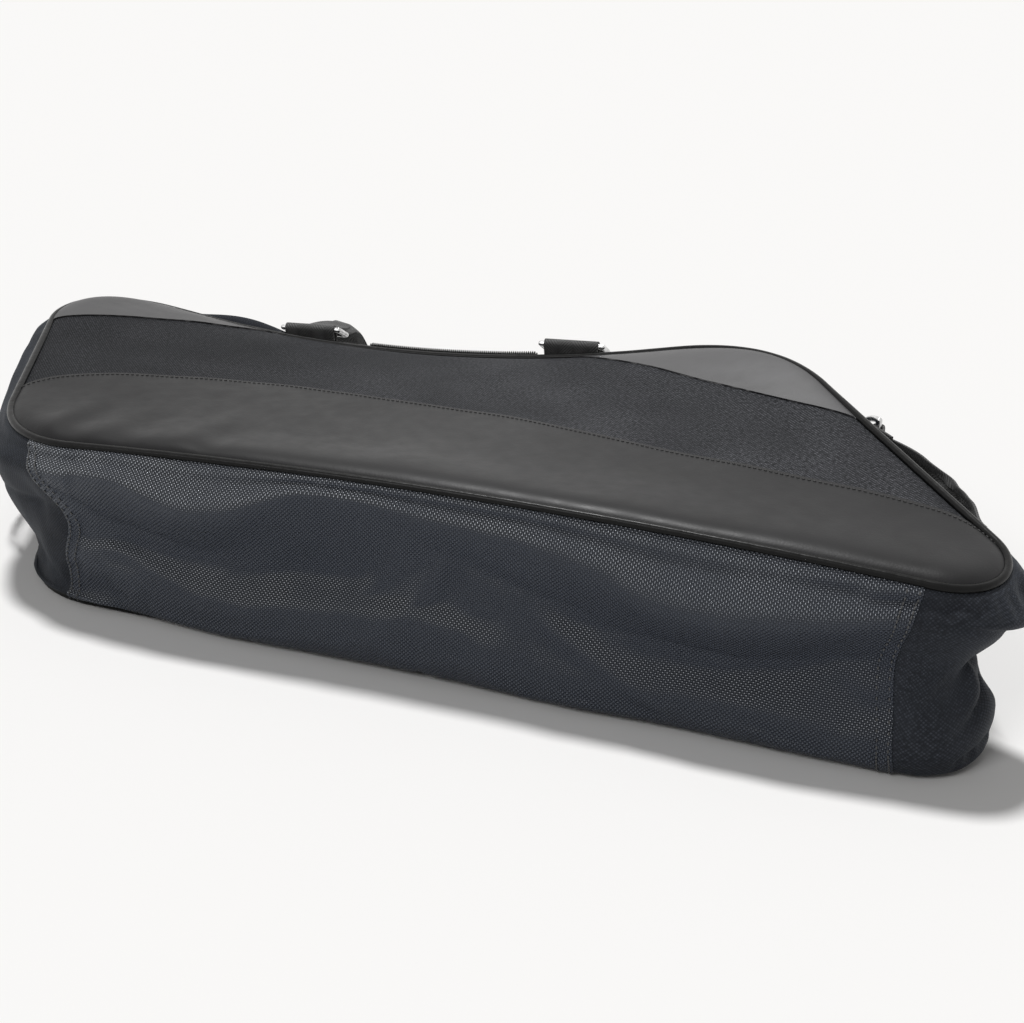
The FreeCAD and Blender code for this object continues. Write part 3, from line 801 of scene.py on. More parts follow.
# Folds of the walls at places round the bag: height and stand of the upper crest, of the
# valley under it and of the lower crest. A stand is how far the cloth is out from the panels.
WALL_FOLDS = (
    (bottom_at(-0.212), 0.088, 0.011, 0.064, 0.000, 0.034, 0.000),
    (bottom_at(-0.150), 0.095, 0.014, 0.058, 0.002, 0.045, 0.006),
    (bottom_at(-0.090), 0.084, 0.016, 0.055, 0.004, 0.028, 0.012),
    (bottom_at(-0.020), 0.104, 0.008, 0.060, 0.002, 0.036, 0.012),
    (bottom_at(0.060), 0.100, 0.008, 0.064, 0.004, 0.042, 0.012),
    (bottom_at(0.120), 0.096, 0.010, 0.060, 0.006, 0.026, 0.012),
    (bottom_at(0.190), 0.078, 0.016, 0.050, 0.004, 0.028, 0.011),
    (bottom_at(0.260), 0.082, 0.016, 0.056, 0.002, 0.028, 0.012),
    (bottom_at(0.323), 0.092, 0.010, 0.068, -0.002, 0.024, 0.009),
    (bottom_at(0.388), 0.094, 0.020, 0.073, -0.006, 0.038, 0.004),
    (up_side(RIGHT, 0.055), 0.096, 0.023, 0.075, -0.005, 0.040, 0.001),
    (up_side(RIGHT, 0.102), 0.108, 0.008, 0.072, -0.002, 0.036, 0.006),
    (up_side(RIGHT, 0.158), 0.110, 0.008, 0.070, 0.001, 0.034, 0.008),
    (up_side(RIGHT, 0.250), 0.118, 0.009, 0.074, 0.002, 0.034, 0.009),
    (top_at(0.130), 0.112, 0.008, 0.068, 0.001, 0.034, 0.009),
    (top_at(0.060), 0.092, 0.004, 0.056, -0.001, 0.030, 0.005),
    (top_at(-0.220), 0.088, 0.005, 0.056, -0.001, 0.030, 0.005),
    (top_at(-0.300), 0.112, 0.008, 0.064, 0.004, 0.030, 0.006),
    (up_side(LEFT, 0.215), 0.112, 0.012, 0.062, 0.010, 0.034, 0.008),
    (up_side(LEFT, 0.130), 0.102, 0.016, 0.060, 0.0088, 0.034, 0.008),
    (up_side(LEFT, 0.070), 0.088, 0.017, 0.060, 0.010, 0.030, 0.004),
    (up_side(LEFT, 0.020), 0.088, 0.015, 0.060, 0.004, 0.026, -0.006),
)

# Creases: a start and an end, each as a length along the bottom edge, which runs on round the
# corners, and a height, then half width and depth.
WALL_CREASES = (
    (0.345, 0.094, 0.402, 0.070, 0.0045, 0.0085),
    (0.352, 0.030, 0.400, 0.064, 0.0045, 0.0090),
    (0.362, 0.064, 0.410, 0.068, 0.0040, 0.0080),
    (0.404, 0.012, 0.396, 0.046, 0.0045, 0.0055),
    (-0.200, 0.086, -0.150, 0.060, 0.0045, 0.0030),
    (-0.262, 0.058, -0.196, 0.066, 0.0050, 0.0040),
    (-0.160, 0.066, -0.100, 0.058, 0.0040, 0.0025),
    (0.060, 0.084, 0.150, 0.060, 0.0060, 0.0030),
    (0.150, 0.056, 0.235, 0.052, 0.0040, 0.0025),
    (0.270, 0.056, 0.330, 0.074, 0.0045, 0.0030),
)

# A crease runs out past its ends, and the cloth stands up a little beside it.
CREASE_RUN_OUT = 0.2
CREASE_LIP = 0.35
CREASE_LIP_WIDTH = 3

WALL_COLUMNS = 412
WALL_ROWS = 32
WALL_START = top_at(-0.040) - PERIMETER
WALL_INSET = 0.0030
WALL_FOOT = 0.0030
WALL_FOOT_STAND = 0.0022
WALL_WAVES = ((0.0022, 0.060, 1.0), (0.0010, 0.022, 5.0))
WALL_TUCK_HEIGHT = 0.045
WALL_TUCK_FROM = 1.3
WALL_FRAMES = 24
FILL_MOVE = 0.0030
LOOSE_MOVE = 0.0028
LOOSE_PLACE = bottom_at(0.395)
LOOSE_REACH = 0.085
CLOTH_SETTINGS = {
    "quality": 6,
    "mass": 0.25,
    "air_damping": 2.0,
    "tension_stiffness": 20.0,
    "compression_stiffness": 20.0,
    "shear_stiffness": 8.0,
    "bending_stiffness": 2.5,
    "shrink_min": -0.004,
    "shrink_max": -0.030,
    "vertex_group_shrink": "loose",
    "use_pressure": True,
    "uniform_pressure_force": 0.4,
    "vertex_group_mass": "held",
}
WALL_GRAVITY = 0.15


def wall_profile(distance):
    """Knots of height and of stand up the wall, from the back piping to the front piping."""
    before = tuple((row[0] - PERIMETER,) + row[1:] for row in WALL_FOLDS[-2:])
    after = tuple((row[0] + PERIMETER,) + row[1:] for row in WALL_FOLDS[:2])
    values = []
    for column in range(1, 7):
        knots = [(row[0], row[column]) for row in before + WALL_FOLDS + after]
        values.append(through(knots, distance % PERIMETER))
    upper, upper_out, valley, valley_out, lower, lower_out = values
    point, _out = outline_at(distance)
    top = rise(point.x, point.y) - WALL_TOP_DROP
    heights = (
        (0.0, WALL_FOOT), (0.05, WALL_FOOT + 0.10 * lower), (0.13, 0.42 * lower),
        (0.32, lower), (0.54, valley), (0.76, upper), (0.93, 0.35 * upper + 0.65 * top),
        (1.0, top))
    stands = (
        (0.0, -WALL_INSET), (0.05, max(0.35 * lower_out, WALL_FOOT_STAND)),
        (0.13, 0.75 * lower_out), (0.32, lower_out), (0.54, valley_out), (0.76, upper_out),
        (0.93, 0.45 * upper_out), (1.0, -WALL_INSET))
    return heights, stands


def wall_before(distance, up, profile):
    """The wall as it is cut and folded, before it is filled out."""
    heights, stands = profile
    point, out = outline_at(distance)
    height = through(heights, up)
    free = math.sin(math.pi * up) ** 0.5 if 0 < up < 1 else 0.0
    stand = through(stands, up) + free * waves(WALL_WAVES, distance % PERIMETER, height)
    low = ease(WALL_TUCK_FROM - height / WALL_TUCK_HEIGHT)
    x, y = tucked(point.x + out.x * stand, point.y + out.y * stand, low)
    return Vector((x, y, height))


def wrapped(distance):
    """A distance round the bag taken the shorter way, from minus half of it to half of it."""
    return (distance + PERIMETER / 2) % PERIMETER - PERIMETER / 2


def looseness(column):
    """How loose the cloth is in a column of the wall: most at the lower right corner."""
    past = wrapped(WALL_START + PERIMETER * column / WALL_COLUMNS - LOOSE_PLACE)
    return hump(past, 0.0, LOOSE_REACH)


def fill_out(mesh, places):
    """Runs the cloth simulation: the wall is held along both pipings and is a little too big."""
    obj = show("wall", mesh)
    held = obj.vertex_groups.new(name="held")
    loose = obj.vertex_groups.new(name="loose")
    for index, (column, row) in enumerate(places):
        edge = min(row, WALL_ROWS - row)
        end = min(column, WALL_COLUMNS - column)
        if edge <= 1 or end <= 2:
            held.add([index], 1.0, "REPLACE")
        loose.add([index], looseness(column), "REPLACE")
    settings = obj.modifiers.new("fill", "CLOTH").settings
    for name, value in CLOTH_SETTINGS.items():
        setattr(settings, name, value)
    settings.effector_weights.gravity = WALL_GRAVITY
    scene = bpy.context.scene
    for number in range(1, WALL_FRAMES + 1):
        scene.frame_set(number)
    depsgraph = bpy.context.evaluated_depsgraph_get()
    filled = obj.evaluated_get(depsgraph)
    points = np.array([vert.co for vert in filled.data.vertices], float)
    scene.frame_set(1)
    bpy.data.objects.remove(obj)
    return points


def fold_wall():
    """The whole wall, filled out by a cloth simulation, as rows of points."""
    profiles = {}
    bm = bmesh.new()
    bmesh.ops.create_grid(bm, x_segments=WALL_COLUMNS, y_segments=WALL_ROWS, size=0.5)
    places = []
    for vert in bm.verts:
        column = round((vert.co.x + 0.5) * WALL_COLUMNS)
        row = round((vert.co.y + 0.5) * WALL_ROWS)
        places.append((column, row))
        distance = WALL_START + PERIMETER * column / WALL_COLUMNS
        if column not in profiles:
            profiles[column] = wall_profile(distance)
        vert.co = wall_before(distance, row / WALL_ROWS, profiles[column])
    mesh = mesh_of("wall", bm)
    start = np.array([vert.co for vert in mesh.vertices], float)
    end = fill_out(mesh, places)
    move = end - start
    reach = np.linalg.norm(move, axis=1, keepdims=True)
    limit = np.array([[FILL_MOVE + LOOSE_MOVE * looseness(column)] for column, _row in places])
    move *= np.minimum(1.0, limit / np.maximum(reach, 1e-9))
    points = np.zeros((WALL_COLUMNS + 1, WALL_ROWS + 1, 3))
    for (column, row), point in zip(places, start + move):
        points[column, row] = point
    bpy.data.meshes.remove(mesh)
    return points


def finer(points, axis):
    """The same points with one more between each two, on a smooth curve through them."""
    points = np.moveaxis(points, axis, 0)
    first = 2 * points[:1] - points[1:2]
    last = 2 * points[-1:] - points[-2:-1]
    run = np.concatenate((first, points, last))
    middles = (9 * (run[1:-2] + run[2:-1]) - run[:-3] - run[3:]) / 16
    result = np.zeros((2 * len(points) - 1,) + points.shape[1:])
    result[::2] = points
    result[1::2] = middles
    return np.moveaxis(result, 0, axis)


def outward_of(points):
    out = np.cross(np.gradient(points, axis=0), np.gradient(points, axis=1))
    return out / np.linalg.norm(out, axis=2, keepdims=True)


def creased(points):
    """Presses the creases into the wall."""
    columns, rows, _axes = points.shape
    places = (WALL_START + PERIMETER * np.arange(columns) / (columns - 1))[:, None] % PERIMETER
    heights = points[:, :, 2]
    depth = np.zeros((columns, rows))
    for start, low, end, high, width, deep in WALL_CREASES:
        run_x = end - start
        run_z = high - low
        past = wrapped(places - bottom_at(start))
        rise_by = heights - low
        length = math.hypot(run_x, run_z)
        along = (past * run_x + rise_by * run_z) / length ** 2
        across = np.abs(run_x * rise_by - run_z * past) / length
        share = (along + CREASE_RUN_OUT) / (1 + 2 * CREASE_RUN_OUT)
        ends = np.sin(np.pi * np.clip(share, 0.0, 1.0))
        lip = CREASE_LIP * np.exp(-across / width / CREASE_LIP_WIDTH)
        depth += deep * ends * (np.exp(-across / width) - lip)
    held = np.sin(np.pi * np.arange(rows) / (rows - 1)) ** 0.5
    return points - outward_of(points) * (depth * held)[:, :, None]


WALL = creased(finer(finer(fold_wall(), 0), 1))
WALL_OUT = outward_of(WALL)
WALL_UP = np.cumsum(np.linalg.norm(np.diff(WALL, axis=1, prepend=WALL[:, :1]), axis=2), axis=1)


def wall_at(distance, up, lift=0.0):
    """A point on the finished wall, lifted off it, and the direction out of it."""
    across = ((distance - WALL_START) % PERIMETER) / PERIMETER * (len(WALL) - 1)
    over = min(max(up, 0.0), 1.0) * (WALL.shape[1] - 1)
    column = min(int(across), len(WALL) - 2)
    row = min(int(over), WALL.shape[1] - 2)
    a = across - column
    b = over - row
    weights = ((0, 0, (1 - a) * (1 - b)), (1, 0, a * (1 - b)), (0, 1, (1 - a) * b), (1, 1, a * b))
    point = sum(WALL[column + i, row + j] * weight for i, j, weight in weights)
    out = sum(WALL_OUT[column + i, row + j] * weight for i, j, weight in weights)
    length = sum(WALL_UP[column + i, row + j] * weight for i, j, weight in weights)
    return Vector(point + out * lift), Vector(out).normalized(), length


SEAM_LEFT_LINE = (
    (0.0, -0.194), (0.30, -0.192), (0.54, -0.188), (0.72, -0.204), (1.0, SEAM_LEFT - 0.012))
SEAM_RIGHT_LINE = ((0.0, 0.322), (0.30, 0.320), (0.54, 0.314), (0.72, 0.319), (1.0, SEAM_RIGHT))
SEAM_LAP = 0.010
SEAM_LIFT = 0.0009
SEAM_RUN = 0.112
SEAM_FOOT = 0.03
SEAM_SHARE = 0.95
SEAM_ROWS = (0.0020, 0.0085)
WALL_PIECE_ROWS = 64
WALL_RIM = 0.0004
# Painted glints of the bottom cloth: how far up a face leans where they start, and how strong they
# get, less towards the right.
GLINT_LEAN = 0.12
GLINT_SPAN = 0.22
GLINT_MOST = 0.76
GLINT_LOSS = 0.26
GLINT_FADE_TO = 0.25


def seam_left(up):
    return bottom_at(through(SEAM_LEFT_LINE, up))


def seam_right(up):
    return bottom_at(through(SEAM_RIGHT_LINE, up))


def wall_piece(name, start, end, columns, finish, lift, rim=0.0):
    """A wall cut out of the finished wall between two lines, each a function of the height."""
    def place(across, up):
        low = start(up)
        distance = low + (end(up) - low) * across
        point, _out, length = wall_at(distance, up, lift)
        return point, distance, length

    return grid_sheet(name, columns, WALL_PIECE_ROWS, place, finish, "bag", CLOTH, rim=rim)


def paint_glints(obj):
    """Marks the faces that lean up, where glints are painted pale on the raised squares' tops and
    shade is painted between them.
    """
    marks = obj.data.attributes.new("painted_glint", "FLOAT", "POINT").data
    for vert, mark in zip(obj.data.vertices, marks):
        most = GLINT_MOST - GLINT_LOSS * ease(vert.co.x / GLINT_FADE_TO)
        mark.value = most * ease((vert.normal.z - GLINT_LEAN) / GLINT_SPAN)


def make_walls():
    # The bottom panel gets painted glints and painted shade on its up-facing faces.
    paint_glints(wall_piece("bottom_panel", seam_left, seam_right, 330, COATED, SEAM_LIFT, WALL_RIM))
    wall_piece(
        "end_gusset_left", lambda up: top_at(ZIP_LEFT) - PERIMETER,
        lambda up: seam_left(up) + SEAM_LAP, 340, GUSSET, 0.0)
    wall_piece(
        "end_gusset_right", lambda up: seam_right(up) - SEAM_LAP,
        lambda up: top_at(ZIP_RIGHT), 330, GUSSET, 0.0)
    rows = []
    for line, way in ((seam_left, 1), (seam_right, -1)):
        for inset in SEAM_ROWS:
            rows.append((SEAM_RUN, wall_stitches(line, way * inset)))
    stitch_rows("bottom_seam_stitches", rows, GLINTING_THREAD)


def wall_stitches(line, inset):
    """A row up a wall seam, moved sideways from the seam's edge."""
    def at(distance):
        up = SEAM_FOOT + SEAM_SHARE * distance / SEAM_RUN
        return wall_at(line(up) + inset, up, SEAM_LIFT + STITCH_RADIUS / 2)[:2]
    return at


# ---- panels ----

BACK_LEATHER = 0.0002
BACK_NYLON = BACK_LEATHER + LEATHER
BACK_STITCHES = BACK_LEATHER + 0.0004
LEATHER_STAND = 0.9 * LEATHER
LEATHER_RIM = 0.0005
STITCH_STAND = 0.0001
SEAM_INSET = 0.0030
PANEL_MARGIN = FIELD_INSET + 0.0002
TIP_MARGIN = 0.001
FIELD_CELLS = (260, 110)
CUT_CELLS = (170, 40)
BACK_FIELD_CELLS = (60, 30)
BACK_CUT_CELLS = (60, 16)


def front_leather(x, y):
    """Height of the leather's outer face: it lies on the nylon, pressed into it a little."""
    return front_skin(x, y) + LEATHER_STAND


def front_stitches(x, y):
    return front_leather(x, y) + STITCH_STAND


def flat_height(level):
    return lambda x, y: level


# Leather pieces of a panel: name, edges, start and end along X, and finish.
PANEL_CUTS = (
    ("lower_band", band_edges,
     (BAND_LINE[0][0] + FIELD_INSET, X_HIGH - PANEL_MARGIN), LEATHER_SKIN),
    ("corner_left", corner_edges(LEFT_CORNER_LINE),
     (X_LOW + PANEL_MARGIN, LEFT_CORNER_LINE[-1][0] - TIP_MARGIN), SHEENED_CORNER_LEATHER),
    ("corner_right", corner_edges(RIGHT_CORNER_LINE),
     (RIGHT_CORNER_LINE[0][0] + TIP_MARGIN, RIGHT_CORNER_LINE[-1][0] - FIELD_INSET),
     SHEENED_CORNER_LEATHER),
)


def make_panels():
    field = (X_LOW + PANEL_MARGIN, X_HIGH - PANEL_MARGIN)
    panel_piece("front_panel_nylon", field_edges, field, FIELD_CELLS, front_skin, NYLON, CLOTH)
    back_piece("back_panel_nylon", field_edges, field, BACK_FIELD_CELLS, BACK_NYLON, NYLON)
    for name, edges, span, finish in PANEL_CUTS:
        panel_piece("front_" + name, edges, span, CUT_CELLS, front_leather, finish, LEATHER,
                    LEATHER_RIM)
        back_piece("back_" + name, edges, span, BACK_CUT_CELLS, BACK_LEATHER, finish)
    front_row = seam_stitches(BAND_LINE, -SEAM_INSET, front_stitches)
    back_row = seam_stitches(BAND_LINE, -SEAM_INSET, flat_height(BACK_STITCHES))
    stitch_rows("front_leather_stitches", [front_row], DARK_THREAD)
    stitch_rows("back_leather_stitches", [tucked_row(*back_row)], DARK_THREAD)


def tucked_row(length, at):
    """A row of stitches moved along with the tucked corner of the back panel."""
    def moved(distance):
        point, up = at(distance)
        x, y = tucked(point.x, point.y)
        return Vector((x, y, point.z)), up
    return length, moved


def back_piece(name, edges, span, cells, level, finish):
    """A piece of the back panel, which lies on the floor with its outer face down."""
    thickness = CLOTH if finish is NYLON else LEATHER
    obj = panel_piece(name, edges, span[::-1], cells, flat_height(level), finish, thickness)
    for vert in obj.data.vertices:
        vert.co.x, vert.co.y = tucked(vert.co.x, vert.co.y)


# ---- piping and binding ----

PIPING_COLUMNS = 760
PIPING_SIDES = 12
PIPING_DROP = 0.0006
PIPING_WAVE = 0.05
BINDING_WIDTH = 0.008
BINDING = 0.0012
BINDING_DROP = 0.0050
BACK_BINDING_HEIGHT = 0.0042


def piping_height(point, name):
    if name == "back":
        return PIPING_RADIUS + BACK_LEATHER
    return rise(point.x, point.y) - PIPING_DROP


def make_piping(name):
    def place(across, around):
        distance = across * PERIMETER
        point, out = outline_at(distance)
        turn = 2 * math.pi * around
        radius = PIPING_RADIUS * (1 + PIPING_WAVE * ruffle(distance, 0.0, 0.018, 2.0))
        stand = radius * math.cos(turn) - PIPING_RADIUS
        height = piping_height(point, name) + radius * math.sin(turn)
        x, y = point + out * stand
        if name == "back":
            x, y = tucked(x, y)
        return Vector((x, y, height)), distance, radius * turn

    bm = shaped_grid(PIPING_COLUMNS, PIPING_SIDES, place, closed=True)
    finish_piece(name + "_piping", bm, PIPING, "bag")


def make_binding(name):
    """Tape that covers the seam's raw edges inside the bag."""
    def place(across, over):
        distance = across * PERIMETER
        point, out = outline_at(distance)
        inset = FIELD_INSET + BINDING_WIDTH * (over if name == "front" else 1 - over)
        x, y = point - out * inset
        height = rise(x, y) - BINDING_DROP
        if name == "back":
            x, y = tucked(x, y)
            height = BACK_BINDING_HEIGHT
        return Vector((x, y, height)), distance, BINDING_WIDTH * over

    grid_sheet(name + "_seam_binding", 300, 3, place, BINDING_TAPE, "bag", BINDING)


# ---- zip ----

TOP_FACE = PANEL_HEIGHT / 2 - 0.00125
COIL_GAP = 0.0008
COIL_WIDTH = 0.0035
COIL_PITCH = 0.0016
COIL_THICKNESS = 0.0024
COIL_SEAT = 0.0008
TAPE_THICKNESS = 0.0007
MOUTH_DROP = 0.008
MOUTH_LIFT = 0.0018
MOUTH_FORWARD = 0.0035
MOUTH_SAG = 0.019
SAG_FORWARD = 0.0020
STRIP_STEP_IN = 0.0006
STRIP_LENGTH = 0.045
STRIP_RIM = 0.0003
PLACKET_FROM = 0.07
TAPE_FROM = -0.03
TAPE_TO = 0.34
TAPE_BEHIND = 0.0013
ZIP_END_PROUD = 0.0011
ZIP_END_ROUND = 0.0006
SLACK = 0.0022
SLACK_FROM = ZIP_LEFT + 0.008
SLACK_REACH = 0.050
PUFF_X = -0.208
PUFF_REACH = 0.053
PUFF_FULL = 11.2
PUFF_UP = 0.014
PUFF_OUT = 0.008


def mouth_open(x):
    """How far the zip is parted: 0 beyond its sliders, 1 in the middle of the mouth."""
    left = ease((x - MOUTH_LEFT + MOUTH_FLARE) / MOUTH_FLARE)
    right = ease((MOUTH_RIGHT + MOUTH_FLARE - x) / MOUTH_FLARE)
    return left * right


def zip_line(x, half):
    """The middle of one half's coil: a height and a place along Y."""
    opened = mouth_open(x)
    closed = COIL_GAP + COIL_WIDTH / 2
    if half == "front":
        lifted = rise(x, PANEL_HEIGHT / 2) + MOUTH_LIFT
        height = (ZIP_HEIGHT + closed) * (1 - opened) + lifted * opened
        return height, TOP_FACE + MOUTH_FORWARD * opened
    return ZIP_HEIGHT - closed - MOUTH_DROP * opened, TOP_FACE


def zip_x(share):
    return ZIP_LEFT + (ZIP_RIGHT - ZIP_LEFT) * share


def zip_wall(x, half, share):
    """The strip between a coil and its piping: share runs from 0 at the coil to 1 at the piping.
    Beyond the sliders it hangs straight. In the mouth the front strip sags in a fold, and
    beside the mouth it swells up under the piping."""
    line, y = zip_line(x, half)
    opened = mouth_open(x)
    top = rise(x, PANEL_HEIGHT / 2) - WALL_TOP_DROP
    far = top if half == "front" else WALL_FOOT
    height = line + (far - line) * share
    belly = math.sin(math.pi * min(max(share, 0.0), 1.0))
    stand = y + (TOP_FACE - STRIP_STEP_IN - y) * share
    slack = SLACK * (1 - opened) * ease((x - SLACK_FROM) / SLACK_REACH)
    stand += belly * slack * (1 + ruffle(x, height, 0.050, 9.0))
    if half == "front":
        height -= MOUTH_SAG * belly * opened
        stand += SAG_FORWARD * belly * opened
        puff = PUFF_FULL * max(share, 0.0) ** 4 * (1 - min(share, 1.0))
        puff *= hump(x, PUFF_X, PUFF_REACH)
        height += PUFF_UP * puff
        stand += PUFF_OUT * puff
    return Vector((x, stand, height))


def make_zip_half(half):
    """The strip of cloth, the tape and the coil of one half of the zip."""
    def strip(low, high, behind):
        def place(across, up):
            x = zip_x(1 - across)
            share = low + (high - low) * up
            if half == "back":
                share = low + high - share
            point = zip_wall(x, half, share)
            point.y -= behind
            return point, x, share * STRIP_LENGTH
        return place

    placket = strip(PLACKET_FROM, 1.0, 0.0)
    tape = strip(TAPE_FROM, TAPE_TO, TAPE_BEHIND)
    grid_sheet("zip_placket_" + half, 180, 24, placket, GUSSET, "bag", CLOTH, rim=STRIP_RIM)
    grid_sheet("zip_tape_" + half, 180, 10, tape, ZIP_TAPE, "bag", TAPE_THICKNESS)
    bm = bmesh.new()
    count = int((ZIP_RIGHT - ZIP_LEFT) / COIL_PITCH)
    for index in range(count):
        x = zip_x((index + 0.5) / count)
        line, y = zip_line(x, half)
        size = Matrix.Diagonal((0.42 * COIL_PITCH, COIL_THICKNESS / 2, COIL_WIDTH / 2, 1.0))
        add_bead(bm, Matrix.Translation((x, y - COIL_SEAT, line)) @ size)
    finish_piece("zip_coil_" + half, bm, ZIP_COIL, "bag")


def make_zip_end(name):
    """A folded scrap of cloth sewn over an end of the zip."""
    low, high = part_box("zip_end_" + name)

    def place(across, up):
        turn = math.pi * up
        x = low.x + (high.x - low.x) * (1 - across)
        height = (low.z + high.z) / 2 - (high.z - low.z) / 2 * math.cos(turn)
        edge = abs(2 * across - 1) ** 4
        y = low.y + ZIP_END_PROUD * (1 - edge) + ZIP_END_ROUND * math.sin(turn)
        return Vector((x, y, height)), x, height

    grid_sheet("zip_end_" + name, 12, 24, place, GUSSET, "bag", CLOTH, rim=STRIP_RIM)


# ---- webbing and metal fittings ----

WIRE_RADIUS = 0.002
WEBBING = 0.0016
FITTING_GAP = 0.0001
FOLD_RADIUS = WIRE_RADIUS + FITTING_GAP + WEBBING
FOLD_MIDDLE = FOLD_RADIUS - WEBBING / 2
WEBBING_WIDTH = 0.040
WEBBING_RIM = 0.0004
PINCH_REACH = 0.008
FOLD_WAVE = 0.0004
TAB_LEFT = -0.152
TAB_RIGHT = 0.053
TAB_RISE = 0.0065
TAB_SEAT = 0.00002
RING_REACH = 0.014
HANDLE_LENGTH = 0.190
HANDLE_TURN = 0.070
GRIP_LENGTH = 0.110
HANDLE_START = 0.020
NARROWING_FROM = 0.050
NARROWING = 0.080
NARROW_WIDTH = 0.0224
STRAP_THICKNESS = 0.0018
NARROW_THICKNESS = 0.0042
GRIP_WIDTH = 0.024
GRIP_THICKNESS = 0.0064
GRIP_END_THICKNESS = 0.0046
STRAP_LEVEL = 0.0012
NARROW_RISE = 0.0012
STRAP_WAVE = 0.0005
STRAP_SQUARENESS = (0.30, 0.55)
GRIP_LEVEL = 0.0030
GRIP_WAVE = 0.0004
GRIP_ROUNDING = 0.07
GRIP_SQUARENESS = (0.7, 0.8)
CRUMPLE = 0.019
CRUMPLE_PLACE = Vector((0.002, 0.030))
CRUMPLE_SIZE = Vector((0.025, 0.022))
HANDLE_FOLD_LEGS = (0.012, 0.016)
FRONT_TAB_REACH = 0.0165
BACK_TAB_REACH = 0.008
PIPING_FACE = PANEL_HEIGHT / 2
FLOOR_GAP = 0.0005


def tab_height(x):
    return rise(x, PANEL_HEIGHT / 2) + TAB_RISE


TAB_MIDDLE = (TAB_LEFT + TAB_RIGHT) / 2
FRONT_PIVOT = Vector((
    TAB_MIDDLE, PIPING_FACE + FITTING_GAP + FOLD_RADIUS - TAB_SEAT,
    (tab_height(TAB_LEFT) + tab_height(TAB_RIGHT)) / 2))
FRONT_SLOPE = math.atan2(tab_height(TAB_RIGHT) - tab_height(TAB_LEFT), TAB_RIGHT - TAB_LEFT)
FRONT_SPACING = (TAB_RIGHT - TAB_LEFT) / math.cos(FRONT_SLOPE)
BACK_PIVOT = Vector((
    TAB_MIDDLE, PIPING_FACE + FITTING_GAP + BACK_TAB_REACH, FOLD_RADIUS + FLOOR_GAP))
BACK_SPACING = TAB_RIGHT - TAB_LEFT
HANDLE_DROP = (
    FRONT_PIVOT.z - FOLD_RADIUS - BACK_PIVOT.z - FLOOR_GAP
    - (FRONT_SPACING + WEBBING_WIDTH) / 2 * math.sin(FRONT_SLOPE))
HANDLE_REST = math.asin(HANDLE_DROP / (RING_REACH + HANDLE_LENGTH))
SLOPE_TURN = Matrix.Rotation(-FRONT_SLOPE, 4, "Y")
FRONT_PLACE = (Matrix.Translation(FRONT_PIVOT) @ SLOPE_TURN
               @ Matrix.Rotation(-HANDLE_REST, 4, "X"))
BACK_PLACE = Matrix.Translation(BACK_PIVOT)


def fold_path(share, legs):
    """Webbing folded round a bar at the origin: out along -Y above it, round it, back below."""
    leg, back_leg = legs
    turn = math.pi * FOLD_MIDDLE
    along = share * (leg + turn + back_leg)
    if along < leg:
        return along - leg, FOLD_MIDDLE, along
    if along < leg + turn:
        angle = (along - leg) / FOLD_MIDDLE
        return FOLD_MIDDLE * math.sin(angle), FOLD_MIDDLE * math.cos(angle), along
    return -(along - leg - turn), -FOLD_MIDDLE, along


def unmoved(point):
    return point


def webbing_fold(name, centre, legs, matrix, body, pinch, gather=unmoved):
    """Webbing folded round a wire; pinch is how close its two legs come together."""
    def place(across, over):
        y, z, along = fold_path(across, legs)
        away = ease(-y / PINCH_REACH)
        z *= 1 - away * (1 - pinch)
        x = centre + WEBBING_WIDTH * (over - 0.5)
        wave = FOLD_WAVE * ruffle(along, x, 0.012, 4.0) * away
        return gather(matrix @ Vector((x, y, z + wave))), along, WEBBING_WIDTH * over

    grid_sheet(name, 40, 20, place, WEBBING_BLACK, body, WEBBING, 0.0, WEBBING_RIM)


def make_tabs():
    down = SLOPE_TURN @ Matrix.Rotation(math.pi / 2, 4, "X")
    front = Matrix.Translation(FRONT_PIVOT) @ down
    for half, spacing, reach, matrix, pinch in (
            ("front", FRONT_SPACING, FRONT_TAB_REACH, front, 0.80),
            ("back", BACK_SPACING, BACK_TAB_REACH, BACK_PLACE, 0.90)):
        for side, centre in (("left", -spacing / 2), ("right", spacing / 2)):
            webbing_fold("handle_tab_%s_%s" % (half, side), centre, (reach, reach), matrix,
                         "bag", pinch)


def handle_path(spacing, share):
    """The middle line of a U-shaped handle, and the direction across it, at a share of it."""
    half = spacing / 2
    leg = HANDLE_LENGTH - HANDLE_TURN - HANDLE_START
    bend = math.pi / 2 * HANDLE_TURN
    flat = 2 * (half - HANDLE_TURN)
    total = 2 * leg + 2 * bend + flat
    along = share * total
    side = 1
    if along > total / 2:
        along = total - along
        side = -1
    if along < leg:
        point = Vector((-half, along, 0.0))
        across = Vector((1.0, 0.0, 0.0))
    elif along < leg + bend:
        angle = (along - leg) / HANDLE_TURN
        across = Vector((math.cos(angle), -math.sin(angle), 0.0))
        point = Vector((-half + HANDLE_TURN, leg, 0.0)) - across * HANDLE_TURN
    else:
        point = Vector((-half + HANDLE_TURN + along - leg - bend, leg + HANDLE_TURN, 0.0))
        across = Vector((0.0, -1.0, 0.0))
    if side < 0:
        point.x = -point.x
        across.x = -across.x
    return point, across, share * total, total


def squared(value, power):
    """A sine or cosine pushed out towards a box with rounded corners."""
    return math.copysign(abs(value) ** power, value)


def section(around, width, thickness, squareness):
    """A place on a flattened tube's section: how far across it lies and how far up."""
    turn = 2 * math.pi * around
    return (squared(math.cos(turn), squareness[0]) * width / 2,
            squared(math.sin(turn), squareness[1]) * thickness / 2)


